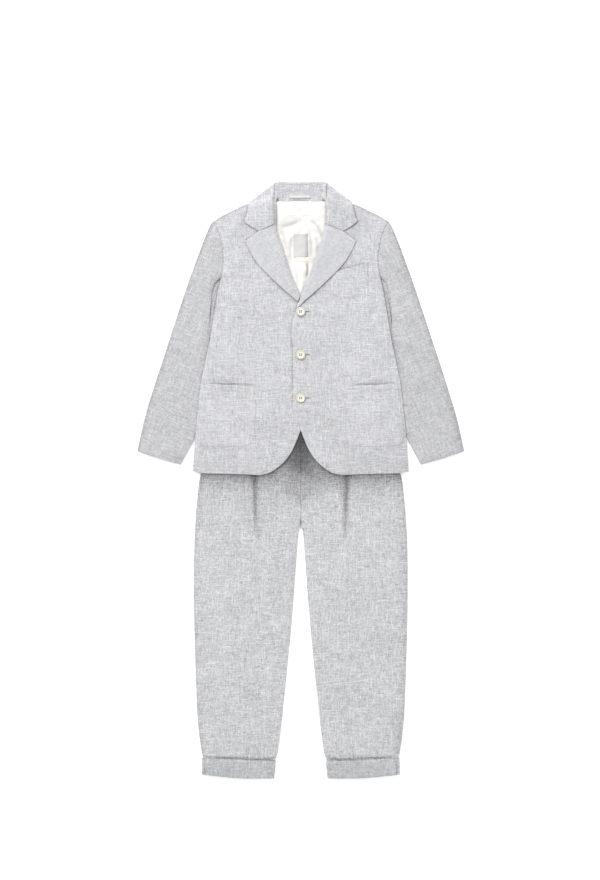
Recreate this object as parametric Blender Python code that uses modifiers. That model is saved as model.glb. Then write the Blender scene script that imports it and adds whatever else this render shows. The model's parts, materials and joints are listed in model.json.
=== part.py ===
"""A child's two-piece linen suit, laid out flat and face up, the trousers' waist inside the jacket.

Every cut piece of cloth is a wall of its own. The pieces are laid one after another, each on what
already lies beneath it, so that a front rests on a back and a pocket rests on a front.

Lengths below are millimetres. X runs across the suit, towards the wearer's left, Y runs up towards
the collar and Z is up from the surface that the suit lies on. The origin is on that surface, under
the middle of the suit's outline. "down" counts from the back neck seam towards the jacket's hem,
and "up" counts from the bottom of the turn-ups towards the waist.
"""

import math

import bmesh
import bpy
import numpy as np
from mathutils import Vector
from mathutils.bvhtree import BVHTree
from mathutils.geometry import delaunay_2d_cdt

MM = 0.001

# Driving sizes of the suit, for a child of about eight years
SUIT_LENGTH = 1234.0
COLLAR_ROLL_HEIGHT = 38.0
BACK_NECK_Y = SUIT_LENGTH / 2 - COLLAR_ROLL_HEIGHT
TURN_UP_Y = -SUIT_LENGTH / 2
JACKET_LENGTH = 567.0
SHOULDER_HALF = 180.5
ARMHOLE_DEPTH = 184.0
OVERLAP = 15.5
BREAK_DOWN = 220.0
WAIST_UP = 718.0
WAISTBAND = 35.0
CROTCH_UP = 520.0
TURN_UP = 36.0

# Cloth thicknesses and the room between pieces
GAP = 0.35
ARMHOLE_GAP = 0.4
SHELL = 1.8
TROUSER_CLOTH = 1.2
LAPEL_CLOTH = 2.2
COLLAR_CLOTH = 2.0
POCKET_CLOTH = 1.3
LINING_CLOTH = 1.0
TURN_UP_CLOTH = 2.0
PUFF = 2.4
CENTRE_FADE = 44.0

LAPEL_ROLL, LAPEL_BEND, LAPEL_FADE = 2.6, 20.0, 70.0
ROLL_INSET = 2.4

# Buttons of four holes
BUTTON_RADIUS = 9.5
BUTTON_THICKNESS = 3.0
BUTTON_PITCH = 89.3
FIRST_BUTTON_DOWN = 231.0
BUTTON_COUNT = 3
BUTTON_SHANK = 0.55
BUTTON_DISH = 1.1
BUTTON_STEPS, DRILL_STEPS = 28, 10
HOLE_RADIUS = 1.0
HOLE_SPACING = 3.4

# Spacing of the points inside a piece, by how much it bends
FINE, MEDIUM, WIDE = 13.0, 24.0, 42.0
OUTLINE_STEP = 14.0
LEG_STEP, COARSE_STEP, LAPEL_STEP = 18.0, 26.0, 12.0
CELL = 3.0
RELAX_ROUNDS = 3
CLEAR_ROUNDS = 12
CLEAR_STEP = 1.02
NEAR = 5.0
ABOVE = 100.0
DOWNWARD = Vector((0.0, 0.0, -1.0))

LINEN = ("linen", (0.62, 0.64, 0.67), 0.85)
SATIN = ("lining", (0.90, 0.88, 0.83), 0.35)
LABEL_GREY = ("label", (0.66, 0.65, 0.64), 0.5)
PEARL = ("button", (0.90, 0.87, 0.78), 0.25)


def clear_scene():
    """Removes the objects that the scene starts with."""
    for thing in list(bpy.data.objects):
        bpy.data.objects.remove(thing)


def finish_of(kind):
    """The material of one kind, made the first time that it is asked for."""
    name, colour, roughness = kind
    material = bpy.data.materials.get(name)
    if material is None:
        material = bpy.data.materials.new(name)
        material.use_nodes = True
        shader = material.node_tree.nodes["Principled BSDF"]
        shader.inputs["Base Color"].default_value = (*colour, 1.0)
        shader.inputs["Roughness"].default_value = roughness
        shader.inputs["Metallic"].default_value = 0.0
    return material


def curve_through(landmarks, step=OUTLINE_STEP):
    """Points about one step apart on a smooth curve through the landmarks, the last one left out."""
    marks = [np.array(mark, float) for mark in landmarks]
    marks = [2 * marks[0] - marks[1], *marks, 2 * marks[-1] - marks[-2]]
    points = []
    for before, start, end, after in zip(marks, marks[1:], marks[2:], marks[3:]):
        count = max(1, round(float(np.linalg.norm(end - start)) / step))
        for t in np.arange(count) / count:
            bend = (
                2 * start
                + (end - before) * t
                + (2 * before - 5 * start + 4 * end - after) * t * t
                + (3 * start - before - 3 * end + after) * t**3
            )
            points.append(bend / 2)
    return points


def outline_of(*runs, step=OUTLINE_STEP):
    """A closed outline from runs of landmarks. Each run starts at the corner where the last one ends."""
    return np.array([point for run in runs for point in curve_through(run, step)])


def on_jacket(landmarks, side=1):
    """Landmarks given as (across, down) from the back neck seam, in the frame's X and Y."""
    return [(side * across, BACK_NECK_Y - down) for across, down in landmarks]


def on_trousers(landmarks, side=1):
    """Landmarks given as (across, up) from the turn-ups' lowest edge, in the frame's X and Y."""
    return [(side * across, TURN_UP_Y + up) for across, up in landmarks]


def inside(outline, points):
    """Which of the points lie inside the closed outline."""
    within = np.zeros(len(points), bool)
    box = np.all((points[:, :2] >= outline.min(axis=0)) & (points[:, :2] <= outline.max(axis=0)), axis=1)
    x, y = points[box, 0, None], points[box, 1, None]
    x1, y1 = outline[:, 0], outline[:, 1]
    x2, y2 = np.roll(x1, -1), np.roll(y1, -1)
    rise = np.where(y2 == y1, 1e-9, y2 - y1)
    crossed = ((y1 > y) != (y2 > y)) & (x < x1 + (y - y1) * (x2 - x1) / rise)
    within[box] = crossed.sum(axis=1) % 2 == 1
    return within


def distance_to(line, points):
    """How far each point is from a line of points, in plan."""
    a, b = line[:-1], line[1:]
    along = b - a
    offset = points[:, None, :] - a[None]
    t = np.clip((offset * along).sum(2) / np.maximum((along**2).sum(1), 1e-9), 0, 1)
    return np.linalg.norm(offset - t[..., None] * along, axis=2).min(axis=1)


def smooth(t):
    """A step from 0 to 1 with soft ends."""
    t = np.clip(t, 0.0, 1.0)
    return t * t * (3 - 2 * t)


class Pile:
    """The height of everything laid so far, on a square lattice over the surface."""

    def __init__(self):
        half_x, half_y = 360.0, SUIT_LENGTH / 2 + 12.0
        self.x = np.arange(-half_x, half_x + CELL, CELL)
        self.y = np.arange(-half_y, half_y + CELL, CELL)
        self.cells = np.column_stack([grid.ravel() for grid in np.meshgrid(self.x, self.y)])
        self.top = np.zeros((len(self.y), len(self.x)))
        self.trees = []
        self.ridges = np.zeros((0, 3))

    def add(self, mesh):
        """Counts a finished piece in, by looking down on it at each lattice point."""
        points = np.array([v.co for v in mesh.vertices]) / MM
        tree = BVHTree.FromPolygons(points.tolist(), [tuple(p.vertices) for p in mesh.polygons])
        low, high = points.min(axis=0), points.max(axis=0)
        self.trees.append((low, high, tree))
        ends = np.array([tuple(e.vertices) for e in mesh.edges])
        steps = np.linspace(0.0, 1.0, 9)[:, None, None]
        along = points[ends[:, 0]] * (1 - steps) + points[ends[:, 1]] * steps
        self.ridges = np.vstack([self.ridges, along.reshape(-1, 3)])
        for row in np.flatnonzero((self.y >= low[1]) & (self.y <= high[1])):
            for column in np.flatnonzero((self.x >= low[0]) & (self.x <= high[0])):
                hit = tree.ray_cast(Vector((self.x[column], self.y[row], ABOVE)), DOWNWARD)[0]
                if hit is not None:
                    self.top[row, column] = max(self.top[row, column], hit.z)

    def add_flat(self, outline, height):
        """Counts in a flat area whose solid is made later."""
        covered = inside(outline, self.cells).reshape(self.top.shape)
        self.top[covered] = np.maximum(self.top[covered], height)

    def rest(self, points, reach, outline=None):
        """The highest thing within reach of each point, and under the outline if one is given."""
        most = self.widened(reach, outline)
        rows = np.rint((points[:, 1] - self.y[0]) / CELL).astype(int)
        columns = np.rint((points[:, 0] - self.x[0]) / CELL).astype(int)
        return most[rows, columns]

    def widened(self, reach, outline=None):
        """The lattice of heights, each one the highest of those within reach and in the outline."""
        top = self.top
        if outline is not None:
            top = np.where(inside(outline, self.cells).reshape(top.shape), top, 0.0)
        span = int(math.ceil(reach / CELL))
        wide = np.pad(top, span)
        most = np.zeros_like(top)
        for i in range(-span, span + 1):
            for j in range(-span, span + 1):
                if i * i + j * j <= (span + 0.5) ** 2:
                    rows = slice(span + i, span + i + top.shape[0])
                    columns = slice(span + j, span + j + top.shape[1])
                    most = np.maximum(most, wide[rows, columns])
        return most

    def clear(self, points, faces, lower, outline):
        """The heights, raised where a face would come closer than the gap to what lies under it."""
        most = self.widened(CELL, outline)
        spots = np.column_stack([self.cells, most.ravel()])
        ridges = self.ridges[inside(outline, self.ridges)]
        spots = np.vstack([spots[spots[:, 2] > 0], ridges])
        for face in map(list, faces):
            corners = points[face]
            low, high = corners.min(axis=0) - 0.1, corners.max(axis=0) + 0.1
            around = spots[np.all((spots[:, :2] > low) & (spots[:, :2] < high), axis=1)]
            matrix = np.column_stack([corners[1] - corners[0], corners[2] - corners[0]])
            share = np.linalg.solve(matrix, (around[:, :2] - corners[0]).T).T
            weights = np.column_stack([1 - share.sum(axis=1), share])
            within = weights.min(axis=1) > -0.02
            weights, needed = np.clip(weights[within], 0, 1), around[within, 2] + GAP
            for _ in range(CLEAR_ROUNDS if len(needed) else 0):
                short = needed - weights @ lower[face]
                worst = short.argmax()
                if short[worst] <= 0:
                    break
                lower[face] += CLEAR_STEP * short[worst] * weights[worst] / (weights[worst] ** 2).sum()
            if len(needed):
                lower[face] += max(0.0, (needed - weights @ lower[face]).max())
        return lower

    def surface(self, points):
        """The exact height of the topmost piece under each point."""
        heights = np.zeros(len(points))
        for k, (x, y) in enumerate(points):
            for low, high, tree in self.trees:
                if low[0] <= x <= high[0] and low[1] <= y <= high[1]:
                    hit = tree.ray_cast(Vector((x, y, ABOVE)), DOWNWARD)[0]
                    if hit is not None:
                        heights[k] = max(heights[k], hit.z)
        return heights


def lattice(outline, spacing):
    """Points in staggered rows inside an outline, kept off its edge."""
    low, high = outline.min(axis=0), outline.max(axis=0)
    rise = spacing * math.sqrt(3) / 2
    rows = np.arange(math.floor(low[1] / rise), math.ceil(high[1] / rise) + 1)
    points = []
    for row in rows:
        first = math.floor(low[0] / spacing) * spacing + (row % 2) * spacing / 2
        for x in np.arange(first, high[0] + spacing, spacing):
            points.append((x, row * rise))
    points = np.array(points)
    points = points[inside(outline, points)]
    closed = np.vstack([outline, outline[:1]])
    return points[distance_to(closed, points) > 0.45 * spacing] if len(points) else points


def triangulated(outline, spacing, folds):
    """(points, triangles) of an outline, with lattice points inside it and edges along the folds."""
    count = len(outline)
    edges = [(i, (i + 1) % count) for i in range(count)]
    points = [tuple(p) for p in outline]
    for fold in folds:
        start = len(points)
        points += [tuple(p) for p in fold]
        edges += [(i, i + 1) for i in range(start, len(points) - 1)]
    inner = lattice(outline, spacing)
    for fold in folds:
        if len(inner):
            inner = inner[distance_to(np.array(fold), inner) > 0.4 * spacing]
    points += [tuple(p) for p in inner]
    made = delaunay_2d_cdt([Vector(p) for p in points], edges, [list(range(count))], 1, 0.01)
    return np.array([tuple(v) for v in made[0]]), [tuple(face) for face in made[2]]


def slab(name, points, faces, lower, thickness, kind):
    """A wall of cloth: the flat triangulation, extruded once, with its two sides set to their heights."""
    shape = bmesh.new()
    below = [shape.verts.new((x * MM, y * MM, 0.0)) for x, y in points]
    flat = [shape.faces.new([below[i] for i in face]) for face in faces]
    bmesh.ops.recalc_face_normals(shape, faces=flat)
    made = bmesh.ops.extrude_face_region(shape, geom=flat, use_keep_orig=True)
    above = [v for v in made["geom"] if isinstance(v, bmesh.types.BMVert)]
    heights = {(round(v.co.x, 7), round(v.co.y, 7)): z for v, z in zip(below, lower)}
    for vertex in above:
        height = heights[(round(vertex.co.x, 7), round(vertex.co.y, 7))]
        vertex.co.z = (height + thickness) * MM
    for vertex, height in zip(below, lower):
        vertex.co.z = height * MM
    bmesh.ops.recalc_face_normals(shape, faces=shape.faces[:])
    mesh = bpy.data.meshes.new(name)
    shape.to_mesh(mesh)
    shape.free()
    return place(name, mesh, kind)


def place(name, mesh, kind):
    """An object for a finished mesh, in the suit's collection."""
    mesh.materials.append(finish_of(kind))
    thing = bpy.data.objects.new(name, mesh)
    bpy.data.collections["linen_suit"].objects.link(thing)
    return thing


def lay(pile, name, outline, thickness, kind, spacing=MEDIUM, lift=None, follow=False, folds=()):
    """Lays a piece of cloth on the pile.

    A piece that follows is made from the points of the piece under it, moved out. Any other piece
    bridges the steps beneath it. lift gives the height that it stands off, from its points in plan.
    """
    points, faces = triangulated(outline, spacing, folds)
    if follow:
        lower = pile.surface(points) + GAP
    else:
        lower = pile.rest(points, NEAR, outline)
        lower = np.where(lower > 0, lower + GAP, 0.0)
        rest = lower.copy()
        pairs = np.array([(f[i], f[(i + 1) % 3]) for f in faces for i in range(3)])
        pairs = np.vstack([pairs, pairs[:, ::-1]])
        for _ in range(RELAX_ROUNDS if rest.max() > 0 else 0):
            total, shares = np.zeros(len(points)), np.zeros(len(points))
            np.add.at(total, pairs[:, 0], lower[pairs[:, 1]])
            np.add.at(shares, pairs[:, 0], 1)
            lower = np.maximum(rest, (lower + total / shares) / 2)
    lower = pile.clear(points, faces, lower, outline)
    if lift is not None:
        lower = lower + lift(points)
    thing = slab(name, points, faces, lower, thickness, kind)
    pile.add(thing.data)
    return thing


def puff_from(*lines, height=PUFF, width=34.0):
    """How far a front stands off its back: nothing at the pressed edges, and full a width inside."""

    def lift(points):
        edge = np.min([distance_to(np.array(line), points) for line in lines], axis=0)
        return height * np.sin(np.clip(edge / width, 0, 1) * math.pi / 2)

    return lift


# The jacket's landmarks, (across, down), on the wearer's left
NECK_POINT = (58.0, -9.0)
ARMPIT = (170.2, ARMHOLE_DEPTH)
SHOULDER_TIP = (SHOULDER_HALF, 44.8)
HEM_CORNER = (222.8, JACKET_LENGTH - 6.0)
SHOULDER = [
    NECK_POINT,
    (84.0, 4.5),
    (101.0, 9.0),
    (114.0, 10.0),
    (128.0, 16.5),
    (146.0, 25.4),
    (165.0, 35.0),
    SHOULDER_TIP,
]
ARMHOLE = [SHOULDER_TIP, (171.0, 64.0), (164.5, 84.0), (160.2, 118.0), (162.7, 151.0), ARMPIT]
LOWER_SIDE = [(206.8, 387.0), (217.1, 482.0), HEM_CORNER]
FRONT_SIDE = [ARMPIT, (180.5, 248.0), (187.0, 288.0), (196.7, 335.0), *LOWER_SIDE]
BACK_SIDE = [ARMPIT, (180.0, 203.0), (187.0, 246.0), (190.5, 290.0), (197.5, 335.0), *LOWER_SIDE]
FRONT_HEM = [HEM_CORNER, (207.0, 564.8), (147.0, 566.2), (85.0, 568.6)]
CLOSED_TO = 430.0
CUTAWAY = [
    FRONT_HEM[-1],
    (66.0, 564.5),
    (46.8, 552.7),
    (32.5, 539.7),
    (20.7, 523.0),
    (11.2, 504.0),
    (1.0, 478.0),
    (-9.0, 456.0),
    (-OVERLAP, CLOSED_TO),
]
FRONT_EDGE = [
    CUTAWAY[-1],
    (-OVERLAP, 318.0),
    (-18.5, 281.0),
    (-16.8, 255.0),
    (-12.5, 240.0),
    (-9.4, 228.5),
    (-6.6, BREAK_DOWN),
]
ROLL = [
    FRONT_EDGE[-1],
    (0.6, 196.0),
    (11.8, 173.0),
    (22.5, 148.0),
    (36.0, 106.0),
    (51.0, 62.0),
    (52.0, 51.5),
]
GORGE = (52.4, 50.6)
# The lapel on top narrows to a strip that ends beside the first button
LAPEL_TIP = (-8.4, 224.0)
LAPEL_TIP_ROLL = [LAPEL_TIP, (-5.6, 216.0), (-1.6, 208.0)]
LAPEL_TIP_EDGE = [LAPEL_TIP, (-5.4, 222.2), (0.0, 217.0)]
LAPEL_EDGE = [
    (6.0, 210.2),
    (21.5, 197.0),
    (52.0, 169.0),
    (84.0, 137.0),
    (99.0, 116.0),
    (107.5, 100.0),
    (114.0, 85.5),
]
LAPEL_NOTCH = (87.0, 66.1)
COLLAR_NOTCH = (87.0, 65.2)


def shifted(landmarks, across, down=0.0):
    """Landmarks moved across and down."""
    return [(x + across, y + down) for x, y in landmarks]


# The collar's fall, from the centre back round to the gorge. Each row is one section from the roll
# to the outer edge, and level is 0 where it lies under the back and 1 where it lies on the front.
COLLAR_COLUMNS = ("roll_across", "roll_down", "edge_across", "edge_down", "level")
COLLAR_ROWS = (
    (0.0, -37.0, 0.0, 12.0, 0.0),
    (24.0, -37.0, 27.0, 12.0, 0.0),
    (42.0, -36.8, 54.0, 12.5, 0.0),
    (50.0, -36.4, 80.0, 11.0, 0.0),
    (52.4, -36.0, 96.0, 7.0, 0.06),
    (53.8, -35.6, 103.6, 3.2, 0.45),
    (53.4, -33.6, 106.2, 5.6, 0.9),
    (52.8, -27.0, 108.2, 13.0, 1.0),
    (52.2, -12.0, 110.5, 24.0, 1.0),
    (52.0, 8.0, 113.0, 35.0, 1.0),
    (52.0, 29.0, 115.5, 47.0, 1.0),
    (52.0, 49.8, *COLLAR_NOTCH, 1.0),
)
# Across the fall, from the roll to the outer edge: the share of its width and how far it stands off
FALL_PROFILE = ((0.0, 1.6), (0.05, 4.2), (0.2, 4.6), (0.45, 3.0), (0.72, 1.4), (1.0, 0.5))
FALL_UNDER_PROFILE = (3.4, 0.5, 0.0, 0.0, 0.0, 0.0)
FALL_OVER = 0.9
FALL_ROOM = 0.6
FRONT_LEVEL = 0.3
STAND_DEPTH = 34.4
STAND_HALF = 49.6
STAND_LIFT, STAND_LEAN = 0.4, 2.2
BACK_FALL_TOP = COLLAR_CLOTH + 0.2


def collar_back_outline():
    """The area that the back part of the fall covers, under the jacket's back."""
    under = [dict(zip(COLLAR_COLUMNS, row)) for row in COLLAR_ROWS]
    under = [row for row in under if row["level"] < FRONT_LEVEL]
    right = [(row["edge_across"], row["edge_down"]) for row in under]
    left = [(-x, y) for x, y in reversed(right)]
    top = [(-53.0, -38.5), (53.0, -38.5)]
    return np.array(on_jacket(left + right + top[::-1]))


def settle_fall(pile, plan, height, levels):
    """Raises the parts of the fall that lie on the fronts until every face of it clears them."""
    a, b = (grid.ravel()[:, None] for grid in np.meshgrid(np.linspace(0, 1, 6), np.linspace(0, 1, 6)))
    weights = np.hstack([(1 - a) * (1 - b), (1 - a) * b, a * (1 - b), a * b])
    for i in range(len(levels) - 1):
        if min(levels[i : i + 2]) < FALL_OVER:
            continue
        for j in range(plan.shape[1] - 1):
            under = pile.rest(weights @ plan[i : i + 2, j : j + 2].reshape(4, 2), CELL)
            needed = np.where(under > 0, under + GAP + FALL_ROOM * COLLAR_CLOTH, 0.0)
            short = (needed - weights @ height[i : i + 2, j : j + 2].ravel()).max()
            height[i : i + 2, j : j + 2] += max(0.0, short)


def collar_fall(pile):
    """The collar's fall as one sheet, lofted through its sections and turned under at the shoulders."""
    half = [dict(zip(COLLAR_COLUMNS, row)) for row in COLLAR_ROWS]
    rows = [(-1, row) for row in reversed(half[1:])] + [(1, row) for row in half]
    shares, stand_off = np.array(FALL_PROFILE).T
    plan, needed, wanted = [], [], []
    for side, row in rows:
        roll = np.array([row["roll_across"], row["roll_down"]])
        edge = np.array([row["edge_across"], row["edge_down"]])
        points = np.array(on_jacket(roll + np.outer(shares, edge - roll), side))
        under = COLLAR_CLOTH / 2 + np.array(FALL_UNDER_PROFILE)
        over = pile.rest(points, CELL) + GAP + COLLAR_CLOTH / 2
        plan.append(points)
        needed.append(under + (over - under) * row["level"])
        wanted.append(under + (over + stand_off - under) * row["level"])
    needed, height = np.array(needed), np.array(wanted)
    in_front = np.array([[row["level"] == 1.0] for _, row in rows])
    for _ in range(RELAX_ROUNDS):
        around = np.pad(height, ((1, 1), (0, 0)), mode="edge")
        even = (around[:-2] + around[1:-1] + around[2:]) / 3
        height = np.where(in_front, np.maximum(even, needed), height)
    settle_fall(pile, np.array(plan), height, [row["level"] for _, row in rows])
    shape = bmesh.new()
    rings = [
        [shape.verts.new((x * MM, y * MM, z * MM)) for (x, y), z in zip(points, level)]
        for points, level in zip(plan, height)
    ]
    for ring, other in zip(rings, rings[1:]):
        for k in range(len(ring) - 1):
            shape.faces.new((ring[k], ring[k + 1], other[k + 1], other[k]))
    mesh = bpy.data.meshes.new("collar_fall")
    shape.to_mesh(mesh)
    shape.free()
    thing = place("collar_fall", mesh, LINEN)
    wall = thing.modifiers.new("cloth", "SOLIDIFY")
    wall.thickness = COLLAR_CLOTH * MM
    wall.offset = 0.0
    return thing


# The sleeves: the crease along the outer side, the cuff, and the inner edges of their two pieces
SLEEVE_OUTER = [
    (SHOULDER_HALF + ARMHOLE_GAP, SHOULDER_TIP[1]),
    (185.0, 50.0),
    (196.0, 74.1),
    (215.7, 126.3),
    (236.2, 183.4),
    (270.0, 286.0),
    (302.7, 386.0),
    (321.7, 449.2),
    (337.5, 519.2),
]
CUFF = [SLEEVE_OUTER[-1], (293.0, 534.5), (248.2, 547.0)]
TOP_SLEEVE_INNER = [
    CUFF[-1],
    (216.9, 484.4),
    (198.1, 414.0),
    (190.0, 373.0),
    (186.5, 331.0),
    (188.5, 290.0),
    (188.5, 245.0),
    (185.5, 206.0),
]
UNDER_SLEEVE_INNER = [
    CUFF[-1],
    (216.9, 484.4),
    (197.0, 414.0),
    (187.0, 373.0),
    (181.0, 331.0),
    (178.5, 290.0),
    (177.0, 245.0),
    (174.0, 206.0),
]
SLEEVE_PIT = (ARMPIT[0] + 0.6, ARMHOLE_DEPTH)
# The fold under the arm lets the under sleeve show in a small hollow beside the body
TOP_TUCK = [TOP_SLEEVE_INNER[-1], (182.6, 188.0), (178.0, 172.0), (171.0, 165.0), (165.0, 161.0)]
UNDER_TUCK = [UNDER_SLEEVE_INNER[-1], (172.0, 194.0), SLEEVE_PIT]
SLEEVE_PUFF_WIDTH = 26.0


def sleeve(pile, side, name):
    """A two-piece sleeve pressed flat: the under sleeve, then the top sleeve on it."""
    armhole = shifted(ARMHOLE, ARMHOLE_GAP)[-2::-1]
    under_armhole, top_armhole = [SLEEVE_PIT, *armhole], [TOP_TUCK[-1], *armhole]
    runs = (SLEEVE_OUTER, CUFF, UNDER_SLEEVE_INNER, UNDER_TUCK, under_armhole)
    lay(pile, f"under_sleeve_{name}", outline_of(*(on_jacket(run, side) for run in runs)), SHELL, LINEN, WIDE)
    runs = (SLEEVE_OUTER, CUFF, TOP_SLEEVE_INNER, TOP_TUCK, top_armhole)
    outline = outline_of(*(on_jacket(run, side) for run in runs))
    pressed = (SLEEVE_OUTER, [*TOP_SLEEVE_INNER, *TOP_TUCK[1:]])
    pressed = [curve_through(on_jacket(run, side)) for run in pressed]
    lift = puff_from(*pressed, width=SLEEVE_PUFF_WIDTH)
    lay(pile, f"top_sleeve_{name}", outline, SHELL, LINEN, MEDIUM, lift)


def jacket_back(pile):
    """The back, cut in one, from the neck to the hem."""
    neck = [(-NECK_POINT[0], NECK_POINT[1]), (-46.0, 1.6), (0.0, 2.6), (46.0, 1.6), NECK_POINT]
    hem = [HEM_CORNER, FRONT_HEM[1], (0.0, JACKET_LENGTH)]
    hem += [(-x, y) for x, y in hem[1::-1]]
    left = [on_jacket(run) for run in (neck, SHOULDER, ARMHOLE, BACK_SIDE, hem)]
    right = [on_jacket(run, -1)[::-1] for run in (BACK_SIDE, ARMHOLE, SHOULDER)]
    lay(pile, "jacket_back", outline_of(*left, *right), SHELL, LINEN, WIDE)


# One leg: its outer and inner sides, from the waist down and from the hem up
LEG_CENTRE = 0.2
LEG_OUTER = [
    (158.0, WAIST_UP),
    (181.0, 684.0),
    (205.6, 631.0),
    (214.7, 567.0),
    (220.3, 467.0),
    (220.0, 327.0),
    (214.7, 157.0),
    (210.4, 95.0),
    (203.9, 52.0),
    (198.6, 30.0),
    (197.4, 16.0),
]
LEG_HEM = [LEG_OUTER[-1], (137.0, 11.0), (62.0, 10.0)]
LEG_INNER = [
    LEG_HEM[-1],
    (58.4, 26.0),
    (49.0, 50.0),
    (38.5, 129.8),
    (18.8, 328.0),
    (5.8, 501.0),
    (3.6, 514.0),
    (LEG_CENTRE, CROTCH_UP),
]


def leg_outline(side):
    """One trouser leg from its hem to the waist seam, the same for the front and the back."""
    rise = [LEG_INNER[-1], (LEG_CENTRE, WAIST_UP)]
    waist = [rise[-1], LEG_OUTER[0]]
    return [on_trousers(run, side) for run in (LEG_OUTER, LEG_HEM, LEG_INNER, rise, waist)]


# The pleat of a front leg, and the small tuck over its turn-up
PLEAT_ACROSS = 94.0
PLEAT_UP = 509.0
PLEAT_DEPTH = 3.0
PLEAT_RAMP = 5.0
PLEAT_LEAN = 6.0
PLEAT_START, PLEAT_RISE = 60.0, 50.0
PLEAT_FADE = 90.0
PLEAT_ROOM = 12.0
PLEAT_POINTS = 7
WAIST_FADE = 60.0
TUCK_ACROSS, TUCK_LENGTH, TUCK_WIDTH, TUCK_DEPTH = 111.0, 34.0, 9.0, 2.0


def trouser_front(pile, side, name):
    """A front leg. Its pleat is a fold towards the side, and a small tuck meets the turn-up."""
    runs = leg_outline(side)
    levels = np.linspace(PLEAT_UP, WAIST_UP - PLEAT_ROOM, PLEAT_POINTS)
    lean = (levels - PLEAT_UP) / (WAIST_UP - PLEAT_UP) * PLEAT_LEAN
    crest = on_trousers([(PLEAT_ACROSS - x, up) for x, up in zip(lean, levels)], side)
    foot = on_trousers([(PLEAT_ACROSS + PLEAT_RAMP - x, up) for x, up in zip(lean, levels)], side)
    pressed = puff_from(curve_through(runs[0]), curve_through(runs[2]))

    def lift(points):
        up = points[:, 1] - TURN_UP_Y
        across = side * points[:, 0]
        lean_here = np.clip((up - PLEAT_UP) / (WAIST_UP - PLEAT_UP), 0, 1) * PLEAT_LEAN
        step = smooth((PLEAT_ACROSS + PLEAT_RAMP - lean_here - across) / PLEAT_RAMP)
        inward = smooth((across - PLEAT_ACROSS + PLEAT_START) / PLEAT_RISE)
        pleat = PLEAT_DEPTH * step * inward * smooth((up - PLEAT_UP) / PLEAT_FADE)
        near_turn_up = np.clip(1 - (up - TURN_UP) / TUCK_LENGTH, 0, 1) * (up > TURN_UP / 2)
        tuck = TUCK_DEPTH * np.exp(-(((across - TUCK_ACROSS) / TUCK_WIDTH) ** 2)) * near_turn_up
        return (pressed(points) + pleat + tuck) * smooth((WAIST_UP - up) / WAIST_FADE)

    outline = outline_of(*runs, step=LEG_STEP)
    folds = [np.array(crest), np.array(foot)]
    lay(pile, f"trouser_front_{name}", outline, TROUSER_CLOTH, LINEN, MEDIUM, lift, folds=folds)


def turn_up_outline(side):
    """The band of cloth folded up over the end of a leg."""
    bottom = [(204.7, 8.3), (137.0, 1.2), (97.5, 0.0), (55.3, 0.0)]
    top = [(51.4, TURN_UP - 1.0), (122.0, TURN_UP + 2.5), (204.2, TURN_UP + 5.6)]
    return outline_of(
        on_trousers(bottom, side),
        on_trousers([bottom[-1], top[0]], side),
        on_trousers(top, side),
        on_trousers([top[-1], bottom[0]], side),
    )


def waistband_outline():
    """The straight band at the trousers' waist."""
    low, high = WAIST_UP + 0.4, WAIST_UP + WAISTBAND
    corners = [(-158.0, low), (158.0, low), (156.0, high), (-156.0, high), (-158.0, low)]
    return outline_of(*(on_trousers(pair) for pair in zip(corners, corners[1:])), step=COARSE_STEP)


def jacket_front(pile, side, name):
    """A front from the shoulder to the rounded hem. Its centre edge runs past the middle."""
    neck = [(54.6, 51.5), (57.0, 24.0), NECK_POINT]
    roll = [*shifted(ROLL[1:-1], ROLL_INSET), neck[0]]
    runs = [SHOULDER, ARMHOLE, FRONT_SIDE, FRONT_HEM, CUTAWAY, FRONT_EDGE, [FRONT_EDGE[-1], *roll], neck]
    outline = outline_of(*(on_jacket(run, side) for run in runs))
    edges = (FRONT_SIDE, SHOULDER[2:], FRONT_HEM)
    pressed = puff_from(*(curve_through(on_jacket(run, side)) for run in edges))

    def lift(points):
        return pressed(points) * smooth((side * points[:, 0] + OVERLAP) / CENTRE_FADE)

    lay(pile, f"jacket_front_{name}", outline, SHELL, LINEN, MEDIUM, lift)


def lapel(pile, side, name):
    """A notched lapel, turned back at the roll line and lying on its front."""
    roll = [*ROLL[1:-1], GORGE]
    edge = LAPEL_EDGE[::-1]
    if side > 0:
        roll = [*LAPEL_TIP_ROLL, *roll]
        edge = [*edge, *LAPEL_TIP_EDGE[::-1]]
    runs = [roll, [GORGE, LAPEL_NOTCH], [LAPEL_NOTCH, edge[0]], edge]
    if side < 0:
        runs.append([edge[-1], roll[0]])
    runs = [on_jacket(run, side) for run in runs]
    fold = np.array(curve_through(runs[0]))

    def lift(points):
        above_break = smooth((BREAK_DOWN - BACK_NECK_Y + points[:, 1]) / LAPEL_FADE)
        return LAPEL_ROLL * above_break * np.exp(-((distance_to(fold, points) / LAPEL_BEND) ** 2))

    lay(pile, f"lapel_{name}", outline_of(*runs, step=LAPEL_STEP), LAPEL_CLOTH, LINEN, FINE, lift)


# The hip pocket: its mouth's outer and inner end, its depth and the gape of its mouth
HIP_OUTER, HIP_MIDDLE, HIP_INNER = (201.6, 380.0), (147.0, 383.4), (93.0, 384.5)
HIP_BOTTOM = 511.0
HIP_MOUTH = 382.0
GAPE_ACROSS, GAPE_WIDTH, GAPE_LENGTH, GAPE_HEIGHT = 150.0, 34.0, 30.0, 1.8


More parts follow.
